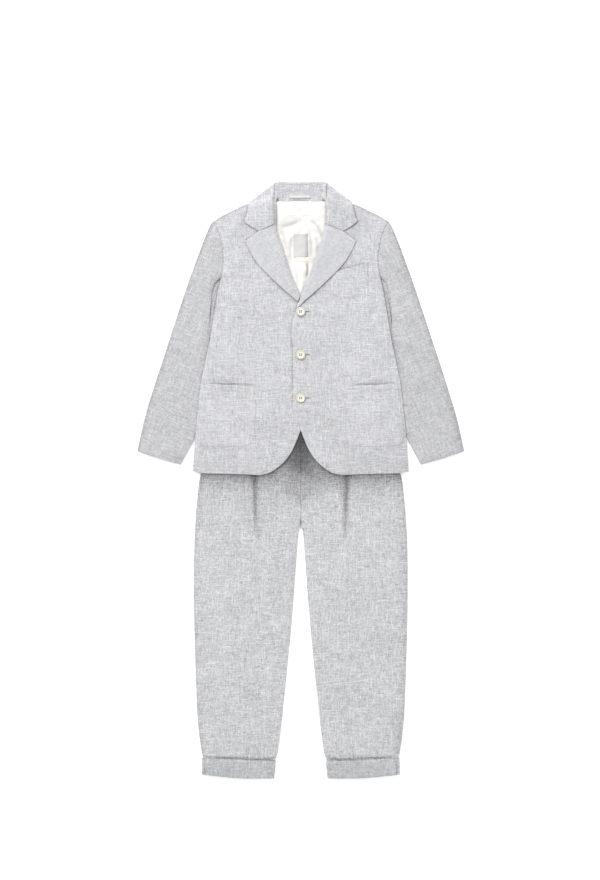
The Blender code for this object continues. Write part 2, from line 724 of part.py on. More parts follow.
def hip_pocket(pile, side, name):
    """A patch pocket with a straight mouth and rounded lower corners, held to the side edge."""
    inner_end, outer_end = (HIP_INNER[0], HIP_BOTTOM - 22.0), (213.6, HIP_BOTTOM - 20.0)
    inner_foot, outer_foot = (115.0, HIP_BOTTOM), (194.0, HIP_BOTTOM)
    runs = [
        [HIP_OUTER, HIP_MIDDLE, HIP_INNER],
        [HIP_INNER, inner_end],
        [inner_end, (99.5, HIP_BOTTOM - 6.5), inner_foot],
        [inner_foot, outer_foot],
        [outer_foot, (208.5, HIP_BOTTOM - 6.0), outer_end],
        [outer_end, (207.6, CLOSED_TO), HIP_OUTER],
    ]

    def lift(points):
        down = BACK_NECK_Y - points[:, 1] - HIP_MOUTH
        across = side * points[:, 0]
        middle = np.exp(-(((across - GAPE_ACROSS) / GAPE_WIDTH) ** 2))
        return GAPE_HEIGHT * middle * np.clip(1 - down / GAPE_LENGTH, 0, 1)

    outline = outline_of(*(on_jacket(run, side) for run in runs))
    lay(pile, f"hip_pocket_{name}", outline, POCKET_CLOTH, LINEN, MEDIUM, lift, follow=True)


# The breast pocket's sides, its mouth, which rises outwards, and its foot
BREAST_INNER, BREAST_OUTER = 64.0, 140.0
BREAST_MOUTH_INNER, BREAST_MOUTH_OUTER, BREAST_BOTTOM = 151.0, 130.0, 204.0
BREAST_CORNER = 14.0


def breast_pocket(pile):
    """A small patch pocket on the wearer's left, its inner top corner under the lapel."""
    inner_top, outer_top = (BREAST_INNER, BREAST_MOUTH_INNER), (BREAST_OUTER, BREAST_MOUTH_OUTER)
    outer_end = (BREAST_OUTER, BREAST_BOTTOM - BREAST_CORNER)
    inner_end = (BREAST_INNER, BREAST_BOTTOM - BREAST_CORNER)
    outer_foot = (BREAST_OUTER - BREAST_CORNER, BREAST_BOTTOM)
    inner_foot = (BREAST_INNER + BREAST_CORNER, BREAST_BOTTOM)
    runs = [
        [inner_top, outer_top],
        [outer_top, outer_end],
        [outer_end, (BREAST_OUTER - 4.0, BREAST_BOTTOM - 4.0), outer_foot],
        [outer_foot, inner_foot],
        [inner_foot, (BREAST_INNER + 4.0, BREAST_BOTTOM - 4.0), inner_end],
        [inner_end, inner_top],
    ]
    outline = outline_of(*(on_jacket(run) for run in runs))
    lay(pile, "breast_pocket", outline, POCKET_CLOTH, LINEN, MEDIUM, follow=True)


# Half of the lining that shows in the open neck, from the neck seam down to its point
LINING_HALF = [
    (0.0, 3.4),
    (44.0, 3.0),
    (58.0, 8.0),
    (72.0, 30.0),
    (72.0, 66.0),
    (56.0, 112.0),
    (36.0, 165.0),
    (16.0, 208.0),
    (0.0, 222.0),
]


def back_lining(pile):
    """The lining inside the back, where the open neck shows it, tucked under the fronts."""
    other = [(-x, y) for x, y in LINING_HALF[::-1]]
    outline = outline_of(on_jacket(LINING_HALF), on_jacket(other))
    lay(pile, "back_lining", outline, LINING_CLOTH, SATIN, MEDIUM)


def collar_stand(pile):
    """The stand, seen from inside between the two sides of the roll."""
    top_left, top_right = (-STAND_HALF, -STAND_DEPTH), (STAND_HALF, -STAND_DEPTH)
    foot_left, foot_right = (-STAND_HALF, -6.5), (STAND_HALF, -6.5)
    runs = [
        [top_left, top_right],
        [top_right, foot_right],
        [foot_right, (44.0, 1.0), (0.0, 2.0), (-44.0, 1.0), foot_left],
        [foot_left, top_left],
    ]

    def lift(points):
        down = BACK_NECK_Y - points[:, 1]
        return STAND_LIFT + STAND_LEAN * smooth(-down / STAND_DEPTH)

    lay(pile, "collar_stand", outline_of(*(on_jacket(run) for run in runs)), SHELL, LINEN, FINE, lift)


LABEL_CORNERS = ((-16.0, 71.0), (14.5, 70.0), (16.0, 118.0), (-14.5, 119.0))
LOOP_CORNERS = ((-23.0, -8.5), (20.0, -9.0), (20.0, -3.8), (-23.0, -3.4))
LOOP_ARCH = 1.4


def patch(pile, name, corners, thickness, kind, arch=0.0):
    """A small straight-sided piece that lies on the cloth under it, its middle raised by the arch."""
    marks = on_jacket([*corners, corners[0]])
    outline = outline_of(*zip(marks, marks[1:]))
    centre, span = outline.mean(axis=0), np.ptp(outline[:, 0]) / 2

    def lift(points):
        return arch * (1 - ((points[:, 0] - centre[0]) / span) ** 2)

    lay(pile, name, outline, thickness, kind, MEDIUM, lift, follow=True)


def button(pile, number):
    """A disc with four holes, turned with a raised rim and drilled."""
    down = FIRST_BUTTON_DOWN + number * BUTTON_PITCH
    centre = np.array(on_jacket([(0.0, down)]))
    angles = np.linspace(0.0, 2 * math.pi, BUTTON_STEPS)
    rim = centre + BUTTON_RADIUS * np.column_stack([np.cos(angles), np.sin(angles)])
    foot = pile.surface(np.vstack([centre, rim])).max() + BUTTON_SHANK
    radius, high = BUTTON_RADIUS, BUTTON_THICKNESS
    profile = (
        (0.0, high - BUTTON_DISH),
        (radius - 3.4, high - BUTTON_DISH),
        (radius - 2.4, high - 0.1),
        (radius - 1.2, high),
        (radius - 0.2, high - 0.6),
        (radius, high / 2),
        (radius - 1.6, high / 10),
        (radius - 3.0, 0.0),
        (0.0, 0.0),
    )
    shape = bmesh.new()
    ring = [shape.verts.new((r * MM, 0.0, z * MM)) for r, z in profile]
    for a, b in zip(ring, ring[1:]):
        shape.edges.new((a, b))
    mesh = bpy.data.meshes.new(f"button_{number + 1}")
    shape.to_mesh(mesh)
    shape.free()
    thing = place(f"button_{number + 1}", mesh, PEARL)
    thing.location = (centre[0, 0] * MM, centre[0, 1] * MM, foot * MM)
    turn = thing.modifiers.new("turn", "SCREW")
    turn.steps = turn.render_steps = BUTTON_STEPS
    turn.use_merge_vertices = True
    turn.merge_threshold = MM / 10
    for i, (x, y) in enumerate(((-1, -1), (1, -1), (1, 1), (-1, 1))):
        bpy.ops.mesh.primitive_cylinder_add(
            vertices=DRILL_STEPS,
            radius=HOLE_RADIUS * MM,
            depth=3 * high * MM,
            location=thing.location + Vector((x, y, 0.0)) * HOLE_SPACING / 2 * MM,
        )
        drill = bpy.context.object
        drill.name = f"drill_{number + 1}_{i + 1}"
        drill.hide_render = True
        drill.display_type = "WIRE"
        for owner in list(drill.users_collection):
            owner.objects.unlink(drill)
        bpy.data.collections["cutters"].objects.link(drill)
        hole = thing.modifiers.new(f"hole_{i + 1}", "BOOLEAN")
        hole.object = drill
        hole.operation = "DIFFERENCE"


def build():
    """Lays the whole suit, from the surface upwards."""
    clear_scene()
    for name in ("linen_suit", "cutters"):
        bpy.context.scene.collection.children.link(bpy.data.collections.new(name))
    pile = Pile()
    sides = ((1, "left"), (-1, "right"))
    for side, name in sides:
        lay(pile, f"turn_up_back_{name}", turn_up_outline(side), TURN_UP_CLOTH, LINEN)
        sleeve(pile, side, name)
    pile.add_flat(collar_back_outline(), BACK_FALL_TOP)
    jacket_back(pile)
    collar_stand(pile)
    back_lining(pile)
    patch(pile, "label", LABEL_CORNERS, LINING_CLOTH, LABEL_GREY)
    patch(pile, "hanger_loop", LOOP_CORNERS, LINING_CLOTH, SATIN, LOOP_ARCH)
    lay(pile, "waistband_back", waistband_outline(), TROUSER_CLOTH, LINEN, WIDE)
    for side, name in sides:
        outline = outline_of(*leg_outline(side), step=COARSE_STEP)
        lay(pile, f"trouser_back_{name}", outline, TROUSER_CLOTH, LINEN, WIDE)
    for side, name in sides:
        trouser_front(pile, side, name)
    lay(pile, "waistband_front", waistband_outline(), TROUSER_CLOTH, LINEN, WIDE)
    for side, name in sides:
        lay(pile, f"turn_up_front_{name}", turn_up_outline(side), TURN_UP_CLOTH, LINEN, FINE)
    jacket_front(pile, -1, "right")
    lapel(pile, -1, "right")
    jacket_front(pile, 1, "left")
    breast_pocket(pile)
    collar_fall(pile)
    lapel(pile, 1, "left")
    for side, name in sides:
        hip_pocket(pile, side, name)
    for number in range(BUTTON_COUNT):
        button(pile, number)


build()
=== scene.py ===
"""The looks of a child's linen suit that lies flat and face up, its trousers' waist inside the jacket.

Every piece of cloth is laid again as a fine shell on the form of its solid, from the floor upwards, so
that each one rests on the cloth under it. Creases, pleats and rolled edges are placed one by one.

Lengths are millimetres unless a name says otherwise. "across" counts from the middle of the suit,
"down" from the back neck seam towards the jacket's hem, and "up" from the turn-ups' lowest edge.
"""

from __future__ import annotations

import json
import logging
import math
from dataclasses import dataclass
from enum import Enum
from typing import Callable, Sequence

import bmesh
import bpy
import numpy as np
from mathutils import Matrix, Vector
from mathutils.bvhtree import BVHTree
from mathutils.geometry import delaunay_2d_cdt

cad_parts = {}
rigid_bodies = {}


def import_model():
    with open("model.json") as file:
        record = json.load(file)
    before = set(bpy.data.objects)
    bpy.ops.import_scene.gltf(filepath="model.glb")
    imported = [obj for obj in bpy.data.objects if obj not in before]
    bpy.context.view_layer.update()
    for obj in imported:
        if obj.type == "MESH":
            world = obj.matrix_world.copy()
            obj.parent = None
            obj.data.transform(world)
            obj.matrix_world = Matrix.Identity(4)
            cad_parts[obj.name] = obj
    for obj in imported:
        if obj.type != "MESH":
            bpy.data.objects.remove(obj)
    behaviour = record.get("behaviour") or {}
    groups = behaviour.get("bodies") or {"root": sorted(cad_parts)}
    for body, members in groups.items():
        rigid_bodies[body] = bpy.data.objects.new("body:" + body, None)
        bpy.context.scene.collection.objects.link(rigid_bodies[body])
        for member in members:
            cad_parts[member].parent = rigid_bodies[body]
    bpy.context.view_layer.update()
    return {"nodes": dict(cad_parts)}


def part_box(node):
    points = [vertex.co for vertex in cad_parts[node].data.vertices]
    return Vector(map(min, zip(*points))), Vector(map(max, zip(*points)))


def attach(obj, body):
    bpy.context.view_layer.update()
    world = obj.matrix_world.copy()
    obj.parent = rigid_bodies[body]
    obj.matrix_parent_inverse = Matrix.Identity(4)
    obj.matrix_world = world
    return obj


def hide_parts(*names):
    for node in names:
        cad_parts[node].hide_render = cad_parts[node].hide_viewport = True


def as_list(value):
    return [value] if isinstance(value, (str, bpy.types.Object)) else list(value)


LOG = logging.getLogger("linen_suit")
MM = 0.001
SEED = 11
ROOT = "root"
SEAM_EDGE = 0.25
THINNEST = 0.2
CUT_STEP = 2.0
EDGE_FALL = 0.55
EDGE_RINGS = (0.4, 1.0)
TURN_UP_CLOTH = 2.0
TINY = 1e-9

Array = np.ndarray
Shape = Callable[[Array, Array], Array]


class Side(Enum):
    """The wearer's side that a piece is on, with the sign of its X."""

    LEFT = 1
    RIGHT = -1

    @property
    def word(self) -> str:
        """The side's name as the frame's nodes have it."""
        return self.name.lower()


class Grain(Enum):
    """How far the weave of a piece is turned from the suit's length, in degrees."""

    STRAIGHT = 0.0
    SLEEVE_LEFT = -20.0
    SLEEVE_RIGHT = 20.0
    LAPEL_LEFT = 33.0
    LAPEL_RIGHT = -33.0


def smooth(t: Array) -> Array:
    """A step from 0 to 1 with soft ends."""
    t = np.clip(t, 0.0, 1.0)
    return t * t * (3 - 2 * t)


def inside(outline: Array, points: Array) -> Array:
    """Finds which points lie in a closed outline.

    Args:
        outline: The outline's corners, (n, 2).
        points: The points to test, (m, 2).

    Returns:
        A truth value for each point.
    """
    found = np.zeros(len(points), bool)
    near = np.all((points >= outline.min(axis=0)) & (points <= outline.max(axis=0)), axis=1)
    x, y = points[near, 0], points[near, 1]
    odd = np.zeros(len(x), bool)
    for (x1, y1), (x2, y2) in zip(outline, np.roll(outline, -1, axis=0)):
        if y1 != y2:
            odd ^= ((y1 > y) != (y2 > y)) & (x < x1 + (y - y1) * (x2 - x1) / (y2 - y1))
    found[near] = odd
    return found


def distance_to(line: Array, points: Array) -> Array:
    """Measures how far each point is from a line of points.

    Args:
        line: The line's points, (n, 2).
        points: The points to measure, (m, 2).

    Returns:
        The distances, (m,).
    """
    best = np.full(len(points), np.inf)
    for a, b in zip(line[:-1], line[1:]):
        along = b - a
        t = np.clip(((points - a) @ along) / max(float(along @ along), TINY), 0, 1)
        best = np.minimum(best, np.linalg.norm(points - a - t[:, None] * along, axis=1))
    return best


def curve_through(marks: Array, step: float) -> Array:
    """Draws a smooth curve through marks.

    Args:
        marks: The points that it passes through, (n, 2) or (n, 3).
        step: The distance between the new points.

    Returns:
        The curve's points, the first and last mark included.
    """
    ends = np.vstack([2 * marks[0] - marks[1], marks, 2 * marks[-1] - marks[-2]])
    points = []
    for before, start, end, after in zip(ends, ends[1:], ends[2:], ends[3:]):
        count = max(1, round(float(np.linalg.norm(end - start)) / step))
        for t in np.arange(count) / count:
            bend = 2 * start + (end - before) * t
            bend = bend + (2 * before - 5 * start + 4 * end - after) * t * t
            points.append((bend + (3 * start - before - 3 * end + after) * t**3) / 2)
    return np.array([*points, marks[-1]])


def spaced(corners: Array, step: float) -> Array:
    """Puts points along the straight sides of a closed outline.

    Args:
        corners: The outline's corners, (n, 2).
        step: The distance between points.

    Returns:
        The outline, (m, 2).
    """
    points = []
    for a, b in zip(corners, np.roll(corners, -1, axis=0)):
        count = max(1, round(float(np.linalg.norm(b - a)) / step))
        points += [a + (b - a) * k / count for k in range(count)]
    return np.array(points)


@dataclass(frozen=True)
class Measure:
    """Where the suit's two seams that everything is measured from lie in the frame."""

    neck_y: float
    turn_up_y: float

    @classmethod
    def of_frame(cls, collar_roll: float = 37.9) -> Measure:
        """Reads both from the frame.

        Args:
            collar_roll: How far the collar stands above the back neck seam.

        Returns:
            The measure.
        """
        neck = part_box("collar_fall")[1].y / MM - collar_roll
        return cls(neck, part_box("turn_up_front_left")[0].y / MM)

    def jacket(self, marks: Sequence[tuple[float, float]], side: Side = Side.LEFT) -> Array:
        """Turns (across, down) marks on the jacket into the frame's X and Y."""
        return np.array([(side.value * across, self.neck_y - down) for across, down in marks])

    def trousers(self, marks: Sequence[tuple[float, float]], side: Side = Side.LEFT) -> Array:
        """Turns (across, up) marks on the trousers into the frame's X and Y."""
        return np.array([(side.value * across, self.turn_up_y + up) for across, up in marks])


@dataclass(frozen=True)
class Crease:
    """A soft ridge, or a trough where its height is below nothing, along a bowed line."""

    start: Array
    end: Array
    width: float
    height: float
    bow: float = 0.0
    sharp: bool = False
    fade: float = 0.3

    def over(self, x: Array, y: Array) -> Array:
        """Gives the crease's height over a stretch of cloth.

        Args:
            x: The X of each place.
            y: The Y of each place.

        Returns:
            The height at each place.
        """
        along = np.asarray(self.end, float) - self.start
        length = float(np.linalg.norm(along))
        along = along / length
        dx, dy = x - self.start[0], y - self.start[1]
        t = (dx * along[0] + dy * along[1]) / length
        off = dy * along[0] - dx * along[1] - self.bow * 4 * t * (1 - t)
        ends = smooth(np.clip(t, 0, 1) / self.fade) * smooth((1 - np.clip(t, 0, 1)) / self.fade)
        ends = np.where((t < 0) | (t > 1), 0.0, ends)
        shape = np.exp(-np.abs(off / self.width)) if self.sharp else np.exp(-((off / self.width) ** 2))
        return self.height * ends * shape


@dataclass(frozen=True)
class Ripple:
    """The slow unevenness of cloth that lies loose: a few waves that cross each other."""

    height: float = 0.5
    length: float = 75.0
    seed: int = SEED
    waves: int = 7
    spread: tuple[float, float] = (0.5, 1.5)
    bend: float = 9.0
    swings: tuple[float, float] = (47.0, 39.0)

    def over(self, x: Array, y: Array) -> Array:
        """Gives the unevenness over a stretch of cloth.

        Args:
            x: The X of each place.
            y: The Y of each place.

        Returns:
            The height at each place.
        """
        draw = np.random.default_rng(self.seed)
        total = np.zeros_like(x)
        whole = 6.3
        for k in range(self.waves):
            turn = draw.uniform(0, math.pi)
            wave = 2 * math.pi / (self.length * draw.uniform(*self.spread))
            bend = self.bend * np.sin(y / self.swings[0] + draw.uniform(0, whole))
            bend = bend + self.bend * np.sin(x / self.swings[1] + k)
            line = x * math.cos(turn) + y * math.sin(turn) + bend
            total += np.sin(line * wave + draw.uniform(0, whole))
        return self.height * total / 3.0


@dataclass(frozen=True)
class Depth:
    """Shade painted into the cloth's colour where a fold goes deep, or close under an edge that stands over
    it.
    """

    line: Array
    reach: float
    share: float
    long: bool = False
    end_share: float = 0.35
    end_length: float = 0.25

    def over(self, points: Array) -> Array:
        """Gives the share of light that the painted shade takes from each place.

        Args:
            points: The places in plan, (n, 2).

        Returns:
            The share lost at each, from 0 to 1.
        """
        off = distance_to(self.line, points) / self.reach
        lost = self.share * (np.exp(-off) if self.long else np.exp(-(off**2)))
        if self.long:
            return lost
        length = np.linalg.norm(self.line[-1] - self.line[0])
        ends = np.minimum(
            np.linalg.norm(points - self.line[0], axis=1), np.linalg.norm(points - self.line[-1], axis=1)
        )
        rise = smooth(ends / max(self.end_length * length, TINY))
        return lost * (self.end_share + (1 - self.end_share) * rise)


def together(*shapes: Crease | Ripple) -> Shape:
    """Adds several shapes of cloth up into one function of X and Y."""
    return lambda x, y: sum((shape.over(x, y) for shape in shapes), np.zeros_like(x))


class Ground:
    """The heights of everything laid so far, on a square lattice over the floor."""

    def __init__(self, pitch: float = 2.0, half_x: float = 350.0, half_y: float = 630.0) -> None:
        """Starts with the bare floor.

        Args:
            pitch: The distance between lattice points.
            half_x: How far the lattice reaches across.
            half_y: How far it reaches along the suit.
        """
        self.pitch = pitch
        self.x = np.arange(-half_x, half_x + pitch, pitch)
        self.y = np.arange(-half_y, half_y + pitch, pitch)
        self.top = np.zeros((len(self.y), len(self.x)))

    def window(self, outline: Array, margin: float = 14.0) -> tuple[slice, slice]:
        """Finds the part of the lattice that an outline needs.

        Args:
            outline: The outline, (n, 2).
            margin: How far past it to reach.

        Returns:
            The slices of rows and columns.
        """
        low, high = outline.min(axis=0) - margin, outline.max(axis=0) + margin
        rows = slice(*np.searchsorted(self.y, (low[1], high[1])))
        columns = slice(*np.searchsorted(self.x, (low[0], high[0])))
        return rows, columns

    def blurred(self, heights: Array, mask: Array, reach: float) -> Array:
        """Evens heights out within a mask, and carries them past its edge.

        Args:
            heights: The heights on the lattice.
            mask: Where they count.
            reach: How far apart two places still even each other out.

        Returns:
            The evened heights.
        """
        span = max(1, math.ceil(2.5 * reach / self.pitch))
        weights = np.exp(-0.5 * (np.arange(-span, span + 1) * self.pitch / reach) ** 2)
        total, share = heights * mask, mask.astype(float)
        for axis in (0, 1):
            total = sum(w * np.roll(total, k - span, axis) for k, w in enumerate(weights))
            share = sum(w * np.roll(share, k - span, axis) for k, w in enumerate(weights))
        least = 1e-6
        return np.where(share > least, total / np.maximum(share, least), 0.0)

    def bank(self, mask: Array, reach: float) -> Array:
        """A rise from 0 at a mask's edge to 1 well inside it.

        Args:
            mask: The lattice points that lie in the outline.
            reach: How wide the rise is.

        Returns:
            The rise in the window.
        """
        span = math.ceil(2.0 * reach / self.pitch)
        weights = np.exp(-0.5 * (np.arange(-span, span + 1) * self.pitch / reach) ** 2)
        share = np.pad(mask.astype(float), span)
        for axis in (0, 1):
            share = sum(w * np.roll(share, k - span, axis) for k, w in enumerate(weights / weights.sum()))
        inner = share[span : span + mask.shape[0], span : span + mask.shape[1]]
        t = np.clip(2 * inner - 1, 0, 1)
        return 1 - (1 - t) ** 2

    def at(self, heights: Array, window: tuple[slice, slice], points: Array) -> Array:
        """Reads heights between lattice points.

        Args:
            heights: The heights in the window.
            window: The part of the lattice that they are for.
            points: Where to read them, (n, 2).

        Returns:
            The heights, (n,).
        """
        u = (points[:, 0] - self.x[window[1].start]) / self.pitch
        v = (points[:, 1] - self.y[window[0].start]) / self.pitch
        i = np.clip(np.floor(v).astype(int), 0, heights.shape[0] - 2)
        j = np.clip(np.floor(u).astype(int), 0, heights.shape[1] - 2)
        a, b = np.clip(v - i, 0, 1), np.clip(u - j, 0, 1)
        low = heights[i, j] * (1 - b) + heights[i, j + 1] * b
        high = heights[i + 1, j] * (1 - b) + heights[i + 1, j + 1] * b
        return low * (1 - a) + high * a

    def surface(self, points: Array) -> Array:
        """Reads the top of the pile at points."""
        whole = (slice(0, len(self.y)), slice(0, len(self.x)))
        return self.at(self.top, whole, points)


class Pattern:
    """The outline and the underside of one of the frame's cloth walls."""

    corner_degrees = 24.0
    outline_step = 3.0
    upright = 0.02
    level = 0.1

    def __init__(self, node: str, nodes: dict[str, bpy.types.Object]) -> None:
        """Reads the wall.

        Args:
            node: The frame's node.
            nodes: All the frame's nodes.
        """
        shape = bmesh.new()
        shape.from_mesh(nodes[node].data)
        bmesh.ops.scale(shape, vec=(1 / MM,) * 3, verts=shape.verts)
        bmesh.ops.remove_doubles(shape, verts=shape.verts, dist=0.002)
        shape.normal_update()
        self.tree = BVHTree.FromBMesh(shape)
        rim: dict[bmesh.types.BMVert, list[bmesh.types.BMVert]] = {}
        for edge in shape.edges:
            slopes = sorted(face.normal.z for face in edge.link_faces)
            if len(slopes) == 2 and abs(slopes[0]) < self.upright and slopes[1] > self.level:
                for vertex in edge.verts:
                    rim.setdefault(vertex, []).append(edge.other_vert(vertex))
        start = next(iter(rim))
        loop, before = [start], None
        while True:
            onward = [v for v in rim[loop[-1]] if v is not before]
            before = loop[-1]
            if onward[0] is start or len(loop) > len(rim):
                break
            loop.append(onward[0])
        corners = np.array([(v.co.x, v.co.y) for v in loop])
        shape.free()
        turned = np.roll(corners, -1, axis=0)
        if np.sum(corners[:, 0] * turned[:, 1] - turned[:, 0] * corners[:, 1]) < 0:
            corners = corners[::-1]
        self.outline = self.faired(corners)

    def faired(self, corners: Array) -> Array:
        """Draws the outline as smooth runs between its true corners.

        Args:
            corners: The wall's outline, anticlockwise, (n, 2).

        Returns:
            The fine outline, (m, 2).
        """
        ahead = np.roll(corners, -1, axis=0) - corners
        behind = corners - np.roll(corners, 1, axis=0)
        turn = np.arctan2(
            behind[:, 0] * ahead[:, 1] - behind[:, 1] * ahead[:, 0], (behind * ahead).sum(axis=1)
        )
        sharp = np.flatnonzero(np.abs(turn) > math.radians(self.corner_degrees))
        if len(sharp) < 2:
            sharp = np.array([0, len(corners) // 2])
        runs = []
        for a, b in zip(sharp, np.roll(sharp, -1)):
            count = (b - a) % len(corners) or len(corners)
            run = corners[(a + np.arange(count + 1)) % len(corners)]
            runs.append(curve_through(run, self.outline_step)[:-1])
        return np.vstack(runs)

    def underside(self, ground: Ground, window: tuple[slice, slice], mask: Array) -> Array:
        """Reads the wall's lower face.

        Args:
            ground: The lattice.
            window: The part of it that holds the wall.
            mask: The lattice points that lie in the outline.

        Returns:
            The heights in the window.
        """
        heights = np.zeros(mask.shape)
        up = Vector((0.0, 0.0, 1.0))
        for i, j in zip(*np.nonzero(mask)):
            place = Vector((ground.x[window[1].start + j], ground.y[window[0].start + i], -5.0))
            hit = self.tree.ray_cast(place, up)[0] or self.tree.find_nearest(place)[0]
            heights[i, j] = hit.z
        return heights


@dataclass
class Cloth:
    """One cut piece of cloth, laid on the pile as a thin shell.

    Attributes:
        node: The frame's node that it stands for, or its own name where it has a cut.
        thickness: The cloth's thickness.
        finish: What it is made of.
        spacing: The distance between the shell's points.
        evenness: How far the solid's underside is evened out.
        shape: Its creases and ripples.
        edge_round: How wide its rounded edge is.
        loft: How high it lies off the pile inside its edge.
        bank: How far from the edge the loft is reached.
        folds: Where it rolls over: the line, how far from it and how deep.
        painted_shades: Where shade is painted into its colour.
        sewn: The edges that are sewn down flat.
        sewn_reach: How far from them the cloth thins out.
        open_edge: A patch's one edge that isn't sewn down.
        cut: The outline of a piece that has no node.
        rests_on: The nodes under it.
        gap: The room under it.
        overlap: How far it laps over its solid's outline.
        layers: How many times the strip is folded. It is not used.
    """

    node: str
    thickness: float
    finish: Finish
    spacing: float = 3.2
    evenness: float = 7.0
    shape: Shape | None = None
    edge_round: float = 0.9
    loft: float = 0.0
    bank: float = 9.0
    folds: Sequence[tuple[Array, float, float]] = ()
    painted_shades: Sequence[Depth] = ()
    sewn: Sequence[Array] = ()
    sewn_reach: float = 3.0
    open_edge: Array | None = None
    cut: Array | None = None
    rests_on: Sequence[str] = ()
    gap: float = 0.25
    overlap: float = 0.0
    layers: int = 1

    def lay(self, ground: Ground, nodes: dict[str, bpy.types.Object]) -> bpy.types.Object:
        """Lays the piece on the pile and dresses it.

        Args:
            ground: The pile, which then holds this piece too.
            nodes: The frame's nodes.

        Returns:
            The piece.
        """
        pattern = Pattern(self.node, nodes) if self.cut is None else None
        outline = self.widened(pattern.outline) if pattern else spaced(self.cut, CUT_STEP)
        window = ground.window(outline)
        x, y = np.meshgrid(ground.x[window[1]], ground.y[window[0]])
        cells = np.column_stack([x.ravel(), y.ravel()])
        mask = inside(outline, cells).reshape(x.shape)
        lower = np.zeros(mask.shape)
        if pattern:
            lower = ground.blurred(pattern.underside(ground, window, mask), mask, self.evenness)
        if self.loft:
            lower = lower + self.loft * ground.bank(mask, self.bank)
        if self.shape is not None:
            lower = lower + self.shape(x, y)
        pile = ground.top[window]
        least = np.where(pile > 0, pile + self.gap, 0.0)
        lower = np.where(mask, np.maximum(lower, least), lower)
        lower = ground.blurred(lower, mask, 1.3 * ground.pitch)
        lower = np.maximum(np.where(mask, np.maximum(lower, least), lower), 0.0)
        ground.top[window] = np.where(mask, lower + self.thickness, pile)
        points, faces = self.triangulated(outline)
        bottom = ground.at(lower, window, points)
        top = bottom + self.thickness
        top, bottom = self.turned_down(outline, points, top, bottom)
        LOG.info("%s: %d points, top at %.1f mm", self.node, len(points), top.max())
        return self.dressed(points, faces, top, bottom, len(outline))

    def widened(self, outline: Array) -> Array:
        """Moves an outline out by the piece's overlap.

        Args:
            outline: The outline, (n, 2).

        Returns:
            The wider outline.
        """
        if not self.overlap:
            return outline
        along = np.roll(outline, -1, axis=0) - np.roll(outline, 1, axis=0)
        out = np.column_stack([along[:, 1], -along[:, 0]])
        return outline + self.overlap * out / np.linalg.norm(out, axis=1)[:, None]

    def triangulated(self, outline: Array) -> tuple[Array, list[tuple[int, ...]]]:
        """Fills the outline with even triangles.

        Args:
            outline: The fine outline, (n, 2).

        Returns:
            The points, the outline's first, and the triangles.
        """
        low, high = outline.min(axis=0), outline.max(axis=0)
        rise = self.spacing * math.sqrt(3) / 2
        rows = np.arange(low[1], high[1], rise)
        inner = [
            (x, y)
            for k, y in enumerate(rows)
            for x in np.arange(low[0] + (k % 2) * self.spacing / 2, high[0], self.spacing)
        ]
        inner = np.array(inner)
        inner = inner[inside(outline, inner)]
        closed = np.vstack([outline, outline[:1]])
        inner = inner[distance_to(closed, inner) > self.edge_round + 0.35 * self.spacing]
        along = np.roll(outline, -1, axis=0) - np.roll(outline, 1, axis=0)
        inward = np.column_stack([-along[:, 1], along[:, 0]])
        inward = inward / np.maximum(np.linalg.norm(inward, axis=1), TINY)[:, None]
        rings = []
        for share in EDGE_RINGS:
            ring = outline + inward * self.edge_round * share
            keep = inside(outline, ring)
            keep[keep] = distance_to(closed, ring[keep]) > 0.8 * share * self.edge_round
            rings.append(ring[keep])
        flat = np.vstack([outline, *rings, inner])
        edges = [(i, (i + 1) % len(outline)) for i in range(len(outline))]
        made = delaunay_2d_cdt([Vector(p) for p in flat], edges, [list(range(len(outline)))], 1, 1e-4)
        return np.array([tuple(v) for v in made[0]]), [tuple(f) for f in made[2]]

    def turned_down(
        self,
        outline: Array,
        points: Array,
        top: Array,
        bottom: Array,
    ) -> tuple[Array, Array]:
        """Rounds the cut edges, flattens the sewn ones and rolls the piece over at its folds.

        Args:
            outline: The fine outline.
            points: The piece's points in plan.
            top: Their upper heights.
            bottom: Their lower heights.

        Returns:
            The upper and lower heights.
        """
        closed = np.vstack([outline, outline[:1]])
        off = distance_to(closed, points)
        near = np.clip(1 - off / self.edge_round, 0, 1)
        top = top - EDGE_FALL * self.thickness * (1 - np.sqrt(1 - near**2))
        patch = [] if self.open_edge is None else [self.sewn_edge(outline)]
        for line in [*self.sewn, *patch]:
            near = np.clip(1 - distance_to(line, points) / self.sewn_reach, 0, 1)
            top = top - (self.thickness - SEAM_EDGE) * smooth(near)
        for line, radius, fall in self.folds:
            near = np.clip(1 - distance_to(line, points) / radius, 0, 1)
            roll = fall * (1 - np.sqrt(np.clip(1 - near**2, 0, 1)))
            top, bottom = top - roll, bottom - roll
        return top, np.minimum(bottom, top - THINNEST)

    def sewn_edge(self, outline: Array) -> Array:
        """The part of a patch's outline that is sewn down: all but its open edge.

        Args:
            outline: The whole outline.

        Returns:
            The sewn part, as a line.
        """
        sewn = distance_to(self.open_edge, outline) > 2.0
        first = int(np.flatnonzero(sewn & ~np.roll(sewn, 1))[0])
        return np.roll(outline, -first, axis=0)[: int(sewn.sum())]

